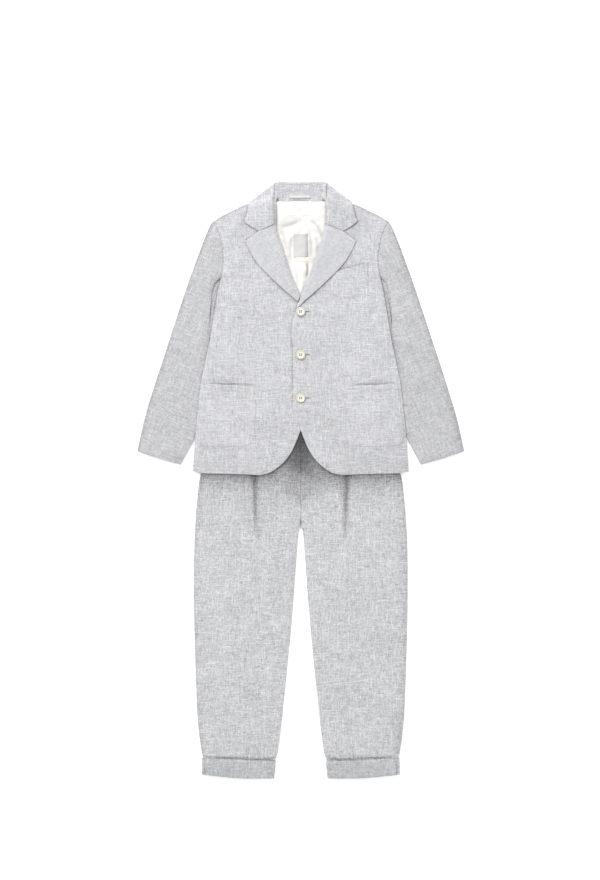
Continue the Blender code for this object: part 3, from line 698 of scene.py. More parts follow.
    def dressed(
        self,
        points: Array,
        faces: list[tuple[int, ...]],
        top: Array,
        bottom: Array,
        rim: int,
    ) -> bpy.types.Object:
        """Makes the closed shell, keeps its painted shade on its points and gives it its finish.

        Args:
            points: The points in plan.
            faces: The triangles.
            top: The upper heights.
            bottom: The lower heights.
            rim: How many of the points are the outline's.

        Returns:
            The piece.
        """
        count = len(points)
        upper = np.column_stack([points, top])
        lower = np.column_stack([points, np.maximum(bottom, 0.0)])
        walls = [(i, count + i, count + (i + 1) % rim, (i + 1) % rim) for i in range(rim)]
        under = [tuple(count + i for i in reversed(face)) for face in faces]
        piece = solid(f"cloth_{self.node}", np.vstack([upper, lower]), [*faces, *under, *walls])
        # painted shade: the light that all its painted shades take is added up and kept on the points, for
        # the finish to darken the colour by
        left = np.ones(count)
        for depth in self.painted_shades:
            left *= 1 - np.clip(depth.over(points), 0, 1)
        lost = piece.data.attributes.new("depth", "FLOAT", "POINT")
        lost.data.foreach_set("value", np.tile(1 - left, 2))
        self.finish.dress(piece)
        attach(piece, ROOT)
        if self.cut is None:
            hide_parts(self.node)
        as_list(self.rests_on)
        return piece


def solid(name: str, points: Array, faces: Sequence[tuple[int, ...]]) -> bpy.types.Object:
    """Makes a smooth-shaded mesh object.

    Args:
        name: The piece's name.
        points: Its points in millimetres, (n, 3).
        faces: Its faces.

    Returns:
        The object, linked into the scene.
    """
    mesh = bpy.data.meshes.new(name)
    mesh.from_pydata((np.asarray(points) * MM).tolist(), [], [tuple(map(int, f)) for f in faces])
    shape = bmesh.new()
    shape.from_mesh(mesh)
    bmesh.ops.recalc_face_normals(shape, faces=shape.faces[:])
    shape.to_mesh(mesh)
    shape.free()
    mesh.shade_smooth()
    piece = bpy.data.objects.new(name, mesh)
    bpy.context.scene.collection.objects.link(piece)
    return piece


class Graph:
    """A short way to write a node tree."""

    def __init__(self, tree: bpy.types.NodeTree) -> None:
        """Keeps the tree that it writes."""
        self.tree = tree

    def node(self, kind: str, **settings: object) -> bpy.types.Node:
        """Adds a node and sets what it is told.

        Args:
            kind: Blender's name of the node.
            **settings: The node's own properties.

        Returns:
            The node.
        """
        made = self.tree.nodes.new(kind)
        for name, value in settings.items():
            setattr(made, name, value)
        return made

    def feed(self, socket: bpy.types.NodeSocket, value: object) -> None:
        """Links a socket to another, or sets its value.

        Args:
            socket: The input.
            value: A socket, a number or a colour.
        """
        if isinstance(value, bpy.types.NodeSocket):
            self.tree.links.new(value, socket)
        else:
            socket.default_value = value

    def math(self, operation: str, *values: object) -> bpy.types.NodeSocket:
        """Adds a Math node.

        Args:
            operation: What it does.
            *values: Its inputs, sockets or numbers.

        Returns:
            Its result.
        """
        made = self.node("ShaderNodeMath", operation=operation)
        for socket, value in zip(made.inputs, values):
            self.feed(socket, value)
        return made.outputs[0]

    def vector(self, x: object, y: object, z: object = 0.0) -> bpy.types.NodeSocket:
        """Joins three numbers into a vector.

        Args:
            x: The first, a socket or a number.
            y: The second.
            z: The third.

        Returns:
            The vector.
        """
        made = self.node("ShaderNodeCombineXYZ")
        for socket, value in zip(made.inputs, (x, y, z)):
            self.feed(socket, value)
        return made.outputs[0]

    def mix(self, share: object, a: object, b: object) -> bpy.types.NodeSocket:
        """Mixes two colours.

        Args:
            share: How much of the second one.
            a: The first colour.
            b: The second colour.

        Returns:
            The mixed colour.
        """
        made = self.node("ShaderNodeMix", data_type="RGBA")
        self.feed(made.inputs["Factor"], share)
        self.feed(made.inputs[6], a)
        self.feed(made.inputs[7], b)
        return made.outputs[2]

    def noise(self, vector: object, scale: float, detail: float = 2.0) -> bpy.types.NodeSocket:
        """Adds a Noise Texture.

        Args:
            vector: Where it is read.
            scale: How fine it is.
            detail: How many finer layers it has.

        Returns:
            Its value.
        """
        made = self.node("ShaderNodeTexNoise")
        self.feed(made.inputs["Vector"], vector)
        made.inputs["Scale"].default_value = scale
        made.inputs["Detail"].default_value = detail
        return made.outputs[0]

    def chance(self, x: object, y: object) -> bpy.types.NodeSocket:
        """A value by chance, from 0 to 1, for each pair of whole numbers.

        Args:
            x: The first number.
            y: The second number.

        Returns:
            The value.
        """
        made = self.node("ShaderNodeTexWhiteNoise", noise_dimensions="2D")
        self.feed(made.inputs["Vector"], self.vector(x, y))
        return made.outputs["Value"]


@dataclass(frozen=True)
class YarnGroup:
    """A plain weave of mottled yarns: warp and weft that cross, each lighter or darker by stretches. Painted
    shade darkens it towards black and makes its mottle stronger.
    """

    name: str = "melange_weave"
    wobble_scale: float = 0.05
    wobble: float = 1.6
    tone_length: float = 4.5
    slub_width: float = 1.1
    slub_lengths: tuple[float, float] = (19.0, 17.0)
    dark_width: float = 1.0
    dark_lengths: tuple[float, float] = (8.0, 11.0)
    dark_shifts: tuple[float, float] = (77.0, 55.0)
    rarity: float = 5.0
    cloud_scale: float = 0.014
    painted_shade_gain: float = 1.6
    slub_height: float = 0.8
    roughness: float = 0.92
    above_zero: float = 4000.0

    def tree(self) -> bpy.types.NodeTree:
        """Builds the group once.

        Returns:
            The group's tree.
        """
        made = bpy.data.node_groups.get(self.name)
        if made is not None:
            return made
        made = bpy.data.node_groups.new(self.name, "ShaderNodeTree")
        face = made.interface
        face.new_socket("Position", in_out="INPUT", socket_type="NodeSocketVector")
        for name, value in (
            ("Turn", 0.0),
            ("Yarn", 0.8),
            ("Mottle", 0.5),
            ("Slub", 0.5),
            ("Cloud", 0.1),
            ("Depth", 0.0),
        ):
            face.new_socket(name, in_out="INPUT", socket_type="NodeSocketFloat").default_value = value
        for name in ("Light", "Dark"):
            face.new_socket(name, in_out="INPUT", socket_type="NodeSocketColor")
        face.new_socket("Color", in_out="OUTPUT", socket_type="NodeSocketColor")
        face.new_socket("Height", in_out="OUTPUT", socket_type="NodeSocketFloat")
        face.new_socket("Roughness", in_out="OUTPUT", socket_type="NodeSocketFloat")
        self.fill(Graph(made))
        return made

    def fill(self, graph: Graph) -> None:
        """Writes the group's nodes.

        Args:
            graph: The group's graph.
        """
        given = graph.node("NodeGroupInput").outputs
        turned = graph.node("ShaderNodeVectorRotate", rotation_type="Z_AXIS")
        graph.feed(turned.inputs["Vector"], given["Position"])
        graph.feed(turned.inputs["Angle"], given["Turn"])
        split = graph.node("ShaderNodeSeparateXYZ")
        graph.feed(split.inputs[0], turned.outputs[0])
        wobble = graph.math("MULTIPLY", graph.noise(turned.outputs[0], self.wobble_scale), self.wobble)
        x = graph.math("ADD", split.outputs[0], wobble)
        y = graph.math("ADD", split.outputs[1], wobble)
        warp, weft = graph.math("DIVIDE", x, given["Yarn"]), graph.math("DIVIDE", y, given["Yarn"])
        warp_at, weft_at = graph.math("FLOOR", warp), graph.math("FLOOR", weft)
        warp_tone = self.stretch(graph, warp_at, y, self.tone_length)
        weft_tone = self.stretch(graph, weft_at, x, self.tone_length)
        crossing = graph.math("ADD", graph.math("ADD", warp_at, weft_at), self.above_zero)
        over = graph.math("MODULO", crossing, 2.0)
        flip = graph.math("SUBTRACT", 1.0, over)
        tone = graph.math(
            "ADD", graph.math("MULTIPLY", warp_tone, over), graph.math("MULTIPLY", weft_tone, flip)
        )
        slub = graph.math(
            "MAXIMUM",
            self.slub(graph, x, y, self.slub_width, self.slub_lengths[0]),
            self.slub(graph, y, x, self.slub_width, self.slub_lengths[1]),
        )
        dark_slub = graph.math(
            "MAXIMUM",
            self.slub(graph, x, y, self.dark_width, self.dark_lengths[0], self.dark_shifts[0]),
            self.slub(graph, y, x, self.dark_width, self.dark_lengths[1], self.dark_shifts[1]),
        )
        tone = graph.math("MULTIPLY", graph.math("SUBTRACT", tone, 0.5), given["Mottle"])
        slubs = graph.math("MULTIPLY", graph.math("SUBTRACT", slub, dark_slub), given["Slub"])
        cloud = graph.math("SUBTRACT", graph.noise(turned.outputs[0], self.cloud_scale, 3.0), 0.5)
        cloud = graph.math("MULTIPLY", cloud, given["Cloud"])
        # painted shade: the mottle grows stronger where shade is painted
        gain = graph.math("MULTIPLY_ADD", given["Depth"], self.painted_shade_gain, 1.0)
        grain = graph.math("MULTIPLY", graph.math("ADD", tone, slubs), gain)
        share = graph.math("ADD", grain, graph.math("ADD", cloud, 0.5))
        clamp = graph.node("ShaderNodeClamp")
        graph.feed(clamp.inputs["Value"], share)
        arch = graph.math("ADD", self.arch(graph, warp, over), self.arch(graph, weft, flip))
        height = graph.math("ADD", arch, graph.math("MULTIPLY", slub, self.slub_height))
        rough = graph.math("SUBTRACT", self.roughness, graph.math("MULTIPLY", tone, 0.1))
        out = graph.node("NodeGroupOutput").inputs
        cloth = graph.mix(clamp.outputs[0], given["Dark"], given["Light"])
        # painted shade: the colour is darkened towards black by the share of painted shade
        graph.feed(out["Color"], graph.mix(given["Depth"], cloth, (0.0, 0.0, 0.0, 1.0)))
        graph.feed(out["Height"], height)
        graph.feed(out["Roughness"], rough)

    def stretch(self, graph: Graph, index: object, along: object, length: float) -> object:
        """A tone for each stretch of each yarn, by chance.

        Args:
            graph: The group's graph.
            index: The yarn's number.
            along: The place along it.
            length: How long a stretch is.

        Returns:
            The tone, from 0 to 1.
        """
        start = graph.math("MULTIPLY", graph.chance(index, 3.0), 100.0)
        place = graph.math("FLOOR", graph.math("DIVIDE", graph.math("ADD", along, start), length))
        return graph.chance(index, place)

    def slub(
        self,
        graph: Graph,
        across: object,
        along: object,
        width: float,
        length: float,
        shift: float = 0.0,
    ) -> object:
        """A mask of the few stretches where a yarn is thick.

        Args:
            graph: The group's graph.
            across: The place across the yarns.
            along: The place along them.
            width: How wide a thick stretch is.
            length: How long it is.
            shift: Added to the yarns' numbers, so that two masks differ.

        Returns:
            The mask, from 0 to 1.
        """
        index = graph.math("FLOOR", graph.math("ADD", graph.math("DIVIDE", across, width), shift))
        tone = self.stretch(graph, index, along, length)
        return graph.math("POWER", tone, self.rarity)

    def arch(self, graph: Graph, place: object, on: object) -> object:
        """The round back of the yarns that lie on top."""
        wave = graph.math("SINE", graph.math("MULTIPLY", graph.math("FRACT", place), math.pi))
        return graph.math("MULTIPLY", wave, on)


def place_in_mm(graph: Graph) -> bpy.types.NodeSocket:
    """The place on the object in millimetres, for the weaves.

    Args:
        graph: The material's graph.

    Returns:
        The place.
    """
    coordinates = graph.node("ShaderNodeTexCoord")
    scale = graph.node("ShaderNodeVectorMath", operation="SCALE")
    graph.feed(scale.inputs[0], coordinates.outputs["Object"])
    scale.inputs["Scale"].default_value = 1 / MM
    return scale.outputs[0]


class Finish:
    """A finish that makes its material once and puts it on pieces."""

    name: str
    slot: str | None

    def dress(self, piece: bpy.types.Object) -> None:
        """Puts the finish on a piece.

        Args:
            piece: The piece.
        """
        material = bpy.data.materials.get(self.name)
        if material is None:
            material = bpy.data.materials.new(self.name)
            material.use_nodes = True
            graph = Graph(material.node_tree)
            self.write(graph, material.node_tree.nodes["Principled BSDF"])
        piece.data.materials.clear()
        piece.data.materials.append(material)

    def write(self, graph: Graph, shader: bpy.types.Node) -> None:
        """Writes the material's nodes.

        Args:
            graph: The material's graph.
            shader: Its Principled BSDF.
        """
        raise NotImplementedError

    def bump(self, graph: Graph, shader: bpy.types.Node, height: object, depth: float) -> None:
        """Raises the surface by a height, so many millimetres deep.

        Args:
            graph: The material's graph.
            shader: Its Principled BSDF.
            height: The height, from 0 to about 1.
            depth: What a height of 1 is in millimetres.
        """
        bump = graph.node("ShaderNodeBump")
        bump.inputs["Strength"].default_value = 1.0
        bump.inputs["Distance"].default_value = depth * MM
        graph.feed(bump.inputs["Height"], height)
        graph.feed(shader.inputs["Normal"], bump.outputs[0])


@dataclass(frozen=True)
class Linen(Finish):
    """Melange linen, its yarns in two greys."""

    name: str
    grain: Grain = Grain.STRAIGHT
    light: tuple[float, float, float] = (0.70, 0.70, 0.722)
    dark: tuple[float, float, float] = (0.32, 0.322, 0.335)
    mottle: float = 0.56
    slubs: float = 0.34
    cloud: float = 0.2
    yarn: float = 0.8
    depth: float = 0.10
    specular: float = 0.25
    sheen: float = 0.12
    sheen_roughness: float = 0.5
    slot: str = "linen"

    def write(self, graph: Graph, shader: bpy.types.Node) -> None:
        """Writes the material's nodes.

        Args:
            graph: The material's graph.
            shader: Its Principled BSDF.
        """
        weave = graph.node("ShaderNodeGroup", node_tree=YarnGroup().tree())
        graph.feed(weave.inputs["Position"], place_in_mm(graph))
        weave.inputs["Turn"].default_value = math.radians(self.grain.value)
        weave.inputs["Yarn"].default_value = self.yarn
        weave.inputs["Mottle"].default_value = self.mottle
        weave.inputs["Slub"].default_value = self.slubs
        weave.inputs["Cloud"].default_value = self.cloud
        weave.inputs["Light"].default_value = (*self.light, 1.0)
        weave.inputs["Dark"].default_value = (*self.dark, 1.0)
        # painted shade: read from the points and passed to the weave, which darkens the colour by it
        lost = graph.node("ShaderNodeAttribute", attribute_name="depth")
        graph.feed(weave.inputs["Depth"], lost.outputs["Fac"])
        graph.feed(shader.inputs["Base Color"], weave.outputs["Color"])
        graph.feed(shader.inputs["Roughness"], weave.outputs["Roughness"])
        self.bump(graph, shader, weave.outputs["Height"], self.depth)
        shader.inputs["Specular IOR Level"].default_value = self.specular
        shader.inputs["Sheen Weight"].default_value = self.sheen
        shader.inputs["Sheen Roughness"].default_value = self.sheen_roughness


@dataclass(frozen=True)
class Satin(Finish):
    """A glossy lining or ribbon with fine crinkles."""

    name: str = "cream_satin"
    colour: tuple[float, float, float] = (0.82, 0.81, 0.785)
    shade: tuple[float, float, float] = (0.68, 0.67, 0.64)
    # the colour that the satin is darkened towards where shade is painted
    hollow: tuple[float, float, float] = (0.05, 0.048, 0.04)
    crinkle: float = 0.5
    fold_scale: float = 0.055
    fine_scale: float = 0.9
    roughness: float = 0.36
    roughness_range: float = 0.15
    sheen: float = 0.2
    slot: str = "lining"

    def write(self, graph: Graph, shader: bpy.types.Node) -> None:
        """Writes the material's nodes.

        Args:
            graph: The material's graph.
            shader: Its Principled BSDF.
        """
        place = place_in_mm(graph)
        folds = graph.noise(place, self.fold_scale, 3.0)
        fine = graph.noise(place, self.fine_scale, 2.0)
        height = graph.math("ADD", graph.math("MULTIPLY", folds, 2.0), graph.math("MULTIPLY", fine, 0.05))
        # painted shade: the satin's colour is mixed towards its painted-shade colour by the share read from
        # the points
        lost = graph.node("ShaderNodeAttribute", attribute_name="depth").outputs["Fac"]
        cloth = graph.mix(folds, (*self.shade, 1.0), (*self.colour, 1.0))
        graph.feed(shader.inputs["Base Color"], graph.mix(lost, cloth, (*self.hollow, 1.0)))
        rough = graph.math("MULTIPLY", fine, self.roughness_range)
        graph.feed(shader.inputs["Roughness"], graph.math("ADD", rough, self.roughness - 0.07))
        self.bump(graph, shader, height, self.crinkle)
        shader.inputs["Sheen Weight"].default_value = self.sheen


@dataclass(frozen=True)
class Ribbon(Finish):
    """A woven label: fine ribs across it."""

    name: str = "label_ribbon"
    colour: tuple[float, float, float] = (0.575, 0.565, 0.555)
    rib: float = 0.45
    mottle: float = 0.25
    contrast: float = 0.08
    depth: float = 0.05
    roughness: float = 0.42
    slot: str = "label"

    def write(self, graph: Graph, shader: bpy.types.Node) -> None:
        """Writes the material's nodes.

        Args:
            graph: The material's graph.
            shader: Its Principled BSDF.
        """
        weave = graph.node("ShaderNodeGroup", node_tree=YarnGroup().tree())
        graph.feed(weave.inputs["Position"], place_in_mm(graph))
        weave.inputs["Yarn"].default_value = self.rib
        weave.inputs["Mottle"].default_value = self.mottle
        weave.inputs["Slub"].default_value = 0.0
        weave.inputs["Light"].default_value = (*(min(1.0, (1 + self.contrast) * c) for c in self.colour), 1.0)
        weave.inputs["Dark"].default_value = (*((1 - self.contrast) * c for c in self.colour), 1.0)
        # painted shade: read from the points and passed to the weave, which darkens the label's colour by it
        lost = graph.node("ShaderNodeAttribute", attribute_name="depth")
        graph.feed(weave.inputs["Depth"], lost.outputs["Fac"])
        graph.feed(shader.inputs["Base Color"], weave.outputs["Color"])
        self.bump(graph, shader, weave.outputs["Height"], self.depth)
        shader.inputs["Roughness"].default_value = self.roughness


@dataclass(frozen=True)
class Pearl(Finish):
    """The cloudy layers of a pearly button."""

    name: str = "pearl"
    colour: tuple[float, float, float] = (0.80, 0.79, 0.73)
    shade: tuple[float, float, float] = (0.56, 0.545, 0.40)
    cloud_scale: float = 0.22
    roughness: float = 0.12
    coat: float = 0.6
    coat_roughness: float = 0.1
    slot: str = "button"

    def write(self, graph: Graph, shader: bpy.types.Node) -> None:
        """Writes the material's nodes.

        Args:
            graph: The material's graph.
            shader: Its Principled BSDF.
        """
        place = place_in_mm(graph)
        cloud = graph.noise(place, self.cloud_scale, 4.0)
        rim = graph.node("ShaderNodeAttribute", attribute_name="rim").outputs["Fac"]
        ramp = graph.math("MULTIPLY", graph.math("ADD", rim, 0.12), graph.math("ADD", cloud, 0.35))
        graph.feed(shader.inputs["Base Color"], graph.mix(ramp, (*self.colour, 1.0), (*self.shade, 1.0)))
        rough = graph.math("ADD", graph.math("MULTIPLY", cloud, 0.2), self.roughness)
        graph.feed(shader.inputs["Roughness"], rough)
        shader.inputs["Coat Weight"].default_value = self.coat
        shader.inputs["Coat Roughness"].default_value = self.coat_roughness


@dataclass(frozen=True)
class Thread(Finish):
    """Sewing thread with its twist."""

    name: str = "thread"
    colour: tuple[float, float, float] = (0.40, 0.40, 0.41)
    twist_scale: float = 3.0
    depth: float = 0.05
    roughness: float = 0.7
    slot: str = "linen"

    def write(self, graph: Graph, shader: bpy.types.Node) -> None:
        """Writes the material's nodes.

        Args:
            graph: The material's graph.
            shader: Its Principled BSDF.
        """
        twist = graph.noise(place_in_mm(graph), self.twist_scale, 2.0)
        pale = tuple(min(1.0, 1.25 * c) for c in self.colour)
        graph.feed(shader.inputs["Base Color"], graph.mix(twist, (*self.colour, 1.0), (*pale, 1.0)))
        self.bump(graph, shader, twist, self.depth)
        shader.inputs["Roughness"].default_value = self.roughness


@dataclass(frozen=True)
class Floor(Finish):
    """The pale floor, very slightly uneven in tone."""

    name: str = "pale_floor"
    slot: None = None
    dark: float = 0.955
    light: float = 0.965
    tone_scale: float = 0.004
    roughness: float = 0.9
    specular: float = 0.1
    glow: float = 0.32

    def write(self, graph: Graph, shader: bpy.types.Node) -> None:
        """Writes the material's nodes.

        Args:
            graph: The material's graph.
            shader: Its Principled BSDF.
        """
        tone = graph.noise(place_in_mm(graph), self.tone_scale, 2.0)
        dark, light = [(grey, grey, grey, 1.0) for grey in (self.dark, self.light)]
        graph.feed(shader.inputs["Base Color"], graph.mix(tone, dark, light))
        shader.inputs["Roughness"].default_value = self.roughness
        shader.inputs["Specular IOR Level"].default_value = self.specular
        shader.inputs["Emission Color"].default_value = (1.0, 1.0, 1.0, 1.0)
        shader.inputs["Emission Strength"].default_value = self.glow


@dataclass(frozen=True)
class Tailor:
    """What every sub-assembly needs: the pile, the frame's nodes and where the seams are."""

    ground: Ground
    nodes: dict[str, bpy.types.Object]
    measure: Measure

    def lay(self, cloth: Cloth) -> bpy.types.Object:
        """Lays one piece of cloth."""
        return cloth.lay(self.ground, self.nodes)

    @property
    def edges(self) -> Edges:
        """The jacket's edges."""
        return Edges(self.measure)


@dataclass(frozen=True)
class Edges:
    """The jacket's edges that stand over the cloth beside them, across and down."""

    measure: Measure

    lapel = (
        (-5.4, 222.2),
        (6.0, 210.2),
        (21.5, 197.0),
        (52.0, 169.0),
        (84.0, 137.0),
        (99.0, 116.0),
        (107.5, 100.0),
        (114.0, 85.5),
    )
    collar = ((87.0, 65.2), (115.5, 47.0), (113.0, 35.0), (110.5, 24.0), (108.2, 13.0), (106.2, 5.6))
    armhole = ((180.5, 44.8), (171.0, 64.0), (164.5, 84.0), (160.2, 118.0), (162.7, 151.0), (170.2, 184.0))
    seam = ((170.2, 184.0), (180.5, 248.0), (187.0, 288.0), (196.7, 335.0), (206.8, 387.0), (217.1, 482.0))
    hem = (
        (222.8, 561.0),
        (207.0, 564.8),
        (147.0, 566.2),
        (85.0, 568.6),
        (66.0, 564.5),
        (46.8, 552.7),
        (32.5, 539.7),
        (20.7, 523.0),
        (11.2, 504.0),
        (1.0, 478.0),
    )

    def along(self, name: str, side: Side, step: float = 4.0) -> Array:
        """Draws one of the edges as a smooth line.

        Args:
            name: The edge.
            side: Which side's edge.
            step: The distance between its points.

        Returns:
            The line in the frame.
        """
        return curve_through(self.measure.jacket(getattr(self, name), side), step)


JACKET = Linen("jacket_linen")
TROUSERS = Linen(
    "trouser_linen",
    light=(0.745, 0.745, 0.762),
    dark=(0.275, 0.278, 0.287),
    slubs=0.3,
    mottle=0.62,
)
# painted shade: the turn-ups are the trousers' linen, its yarns made darker to stand for the shade on them
TURN_UP_LINEN_IN_PAINTED_SHADE = Linen(
    "turn_up_linen_in_painted_shade",
    light=(0.655, 0.66, 0.675),
    dark=(0.25, 0.255, 0.265),
    slubs=0.3,
    mottle=0.6,
)


@dataclass
class Sleeves:
    """The two-piece sleeves, pressed flat beside the body."""

    tailor: Tailor
    cloth: float = 1.6
    cap_creases: tuple[tuple[float, float], ...] = ((69.0, 20.0), (95.0, 24.0), (118.0, 19.0))
    armpit_points: int = 45

    def finish(self, side: Side) -> Linen:
        """The linen of one sleeve, its grain along the arm, its yarns darker than the jacket's as painted
        shade.

        Args:
            side: The sleeve's side.

        Returns:
            The finish.
        """
        return Linen(
            f"sleeve_linen_in_painted_shade_{side.word}",
            grain=Grain.SLEEVE_LEFT if side is Side.LEFT else Grain.SLEEVE_RIGHT,
            # painted shade: darker yarns than the jacket's own
            light=(0.64, 0.64, 0.66),
            dark=(0.29, 0.292, 0.302),
        )

    def unders(self) -> None:
        """Lays the under sleeves."""
        for side in Side:
            # painted shade: the armpit's hollow between the sleeve and the body
            hollow = self.tailor.measure.jacket([(173, 186), (177, 208), (181, 232), (186, 262)], side)
            under = Cloth(
                f"under_sleeve_{side.word}",
                self.cloth,
                self.finish(side),
                spacing=5.0,
                painted_shades=[Depth(hollow, 4.5, 0.3)],
            )
            self.tailor.lay(under)

    def tops(self) -> None:
        """Lays the top sleeves over the back's edges."""
        at = self.tailor.measure.jacket
        for side in Side:
            seam = self.tailor.edges.along("seam", side)
            outer = at([(200, 74), (236.2, 183.4), (270, 286), (302.7, 386), (337.5, 519.2)], side)
            top = Cloth(
                f"top_sleeve_{side.word}",
                self.cloth,
                self.finish(side),
                shape=self.creases(side),
                loft=2.6,
                bank=12.0,
                overlap=0.5,
                # painted shade: along the body's side, down the outer edge where the sleeve rounds away, and
                # under the shoulder
                painted_shades=[
                    Depth(seam[: self.armpit_points], 8.0, 0.2),
                    Depth(seam, 3.4, 0.16),
                    Depth(outer, 5.0, 0.22, long=True),
                    Depth(at([(176, 40), (186, 51), (197, 74), (214, 122)], side), 3.0, 0.32),
                ],
                sewn=[at([(165, 161), (171, 165), (178, 172), (182.6, 188), (186, 207)], side)],
                sewn_reach=5.0,
                rests_on=[f"under_sleeve_{side.word}", "jacket_back"],
            )
            self.tailor.lay(top)

    def creases(self, side: Side) -> Shape:
        """The creases of a sleeve: short ones at the cap, soft ones down the arm.

        Args:
            side: The sleeve's side.

        Returns:
            Their heights over X and Y.
        """
        at = self.tailor.measure.jacket
        marks = [Crease(*at([(166, d), (166 + w, d + 3)], side), 3.5, -0.9) for d, w in self.cap_creases]
        for start, end, width, height in (
            ((200, 130), (188, 190), 9.0, 0.9),
            ((240, 205), (205, 250), 11.0, 0.8),
            ((262, 262), (214, 268), 9.0, -0.7),
            ((270, 300), (222, 335), 10.0, 0.8),
            ((296, 372), (238, 398), 12.0, -0.6),
            ((318, 450), (262, 470), 12.0, 0.7),
        ):
            marks.append(Crease(*at([start, end], side), width, height, bow=4.0))
        return together(*marks, Ripple(0.45, 80.0, SEED + side.value))


@dataclass
class JacketBack:
    """The back, which shows in the neck and at the sides."""

    tailor: Tailor
    cloth: float = 1.6

    def build(self) -> None:
        """Lays the back over the sleeves' inner edges."""
        at = self.tailor.measure.jacket
        # painted shade: where the back shows in the gap between each sleeve and front
        hollow = [(160, 120), (170, 184), (180.5, 248), (187, 288), (196.7, 335), (200, 360)]
        side_lines = [at(hollow, side) for side in Side]
        piece = Cloth(
            "jacket_back",
            self.cloth,
            JACKET,
            spacing=6.0,
            painted_shades=[Depth(side_line, 8.0, 0.34) for side_line in side_lines],
            rests_on=["under_sleeve_left", "under_sleeve_right"],
        )
        self.tailor.lay(piece)


@dataclass
class Neck:
    """What the open neck shows: the stand, the hanger loop, the lining and its labels."""

    tailor: Tailor
    satin: Satin = Satin()

    def build(self) -> None:
        """Lays the lining, the label with its care strip, the stand and the hanger loop."""
        at = self.tailor.measure.jacket
        lay = self.tailor.lay
        lay(
            Cloth(
                "back_lining",
                0.7,
                self.satin,
                spacing=2.0,
                loft=2.0,
                bank=0.5,
                evenness=4.0,
                shape=self.lining_folds(),
                # painted shade: between the lining's folds
                painted_shades=self.lining_painted_shades(),
                rests_on=["jacket_back"],
            )
        )
        bend = together(Crease(*at([(9, 64), (12, 122)]), 5.0, 1.6))
        lay(
            Cloth(
                "label",
                0.6,
                Ribbon(),
                spacing=2.0,
                shape=bend,
                # painted shade: down the label's bent side
                painted_shades=[Depth(at([(12, 56), (15, 96), (12, 136)]), 5.0, 0.36)],
                rests_on=["back_lining"],
            )
        )
        strip = at([(-9.7, 118), (9.0, 118.5), (8.4, 128), (-9.4, 128)])[::-1]
        lay(Cloth("care_strip", 0.4, Ribbon("strip_ribbon", (0.80, 0.79, 0.72)), spacing=2.0, cut=strip))
        lay(
            Cloth(
                "collar_stand",
                1.6,
                JACKET,
                spacing=2.6,
                loft=1.4,
                bank=2.0,
                overlap=2.1,
                sewn=[at([(-50, 2.4), (50, 2.4)])],
                # painted shade: under the hanger loop and at the stand's two lower corners
                painted_shades=[
                    Depth(at([(-24, -2.2), (21, -2.8)]), 1.4, 0.3),
                    Depth(at([(-50, -16), (-43, 0)]), 6.0, 0.2),
                    Depth(at([(50, -16), (43, 0)]), 6.0, 0.2),
                ],
                rests_on=["jacket_back"],
            )
        )
        lay(
            Cloth(
                "hanger_loop",
                0.8,
                Satin("loop_satin", (0.66, 0.655, 0.64), (0.56, 0.55, 0.53), crinkle=0.1),
                spacing=1.6,
                rests_on=["collar_stand"],
                layers=2,
            )
        )

    def lining_folds(self) -> Shape:
        """The lining's soft folds: the yoke's edge, a crescent under it and long ones below.

        Returns:
            Their heights over X and Y.
        """
        at = self.tailor.measure.jacket
        marks = [
            Crease(*at([(-46, 32), (2, 43)]), 3.6, 3.0, bow=7.0),
            Crease(*at([(-44, 54), (-2, 44)]), 4.5, -2.4, bow=-6.0),
            Crease(*at([(4, 46), (-36, 92)]), 3.6, 3.2, bow=4.0),
            Crease(*at([(-42, 66), (-30, 132)]), 3.0, 2.6, bow=4.0),
            Crease(*at([(-24, 76), (-26, 150)]), 3.6, -2.2, bow=3.0),
            Crease(*at([(2, 40), (46, 66)]), 3.6, 2.6, bow=-4.0),
            Crease(*at([(16, 54), (42, 100)]), 3.6, 2.8, bow=-5.0),
            Crease(*at([(20, 66), (24, 128)]), 4.0, 2.8, bow=-6.0),
            Crease(*at([(14, 120), (12, 176)]), 3.0, -2.4, bow=1.0),
            Crease(*at([(-14, 128), (-10, 190)]), 2.6, 2.4, bow=-2.0),
            Crease(*at([(2, 132), (-1, 206)]), 2.8, 2.8, bow=2.0),
            Crease(*at([(-34, 12), (-28, 36)]), 4.0, -1.6, bow=2.0),
            Crease(*at([(34, 10), (38, 36)]), 4.0, 1.6, bow=2.0),
            Crease(*at([(-20, 20), (26, 24)]), 5.0, 1.2, bow=3.0),
        ]
        return together(*marks, Ripple(0.6, 30.0, SEED + 5))

    def lining_painted_shades(self) -> list[Depth]:
        """The shade painted into the lining's colour between its folds.

        Returns:
            The painted shades.
        """
        at = self.tailor.measure.jacket
        painted_hollow_shades = (
            ([(-46, 56), (-24, 50), (-2, 44)], 5.0, 0.3),
            ([(-42, 60), (-35, 76), (-32, 96)], 4.0, 0.2),
            ([(-18, 66), (-22, 100), (-20, 130)], 2.6, 0.26),
            ([(16, 62), (21, 92), (19, 122)], 3.4, 0.3),
            ([(20, 40), (36, 56), (44, 78)], 3.0, 0.26),
            ([(30, 74), (34, 92), (32, 112)], 2.6, 0.22),
            ([(13, 128), (14, 142), (12, 160)], 2.6, 0.62),
            ([(-8, 150), (-6, 178)], 2.0, 0.16),
            ([(5, 176), (3, 204)], 2.0, 0.2),
            ([(-30, 31), (0, 34), (34, 31)], 1.5, 0.12),
        )
        return [Depth(at(line), reach, share) for line, reach, share in painted_hollow_shades]


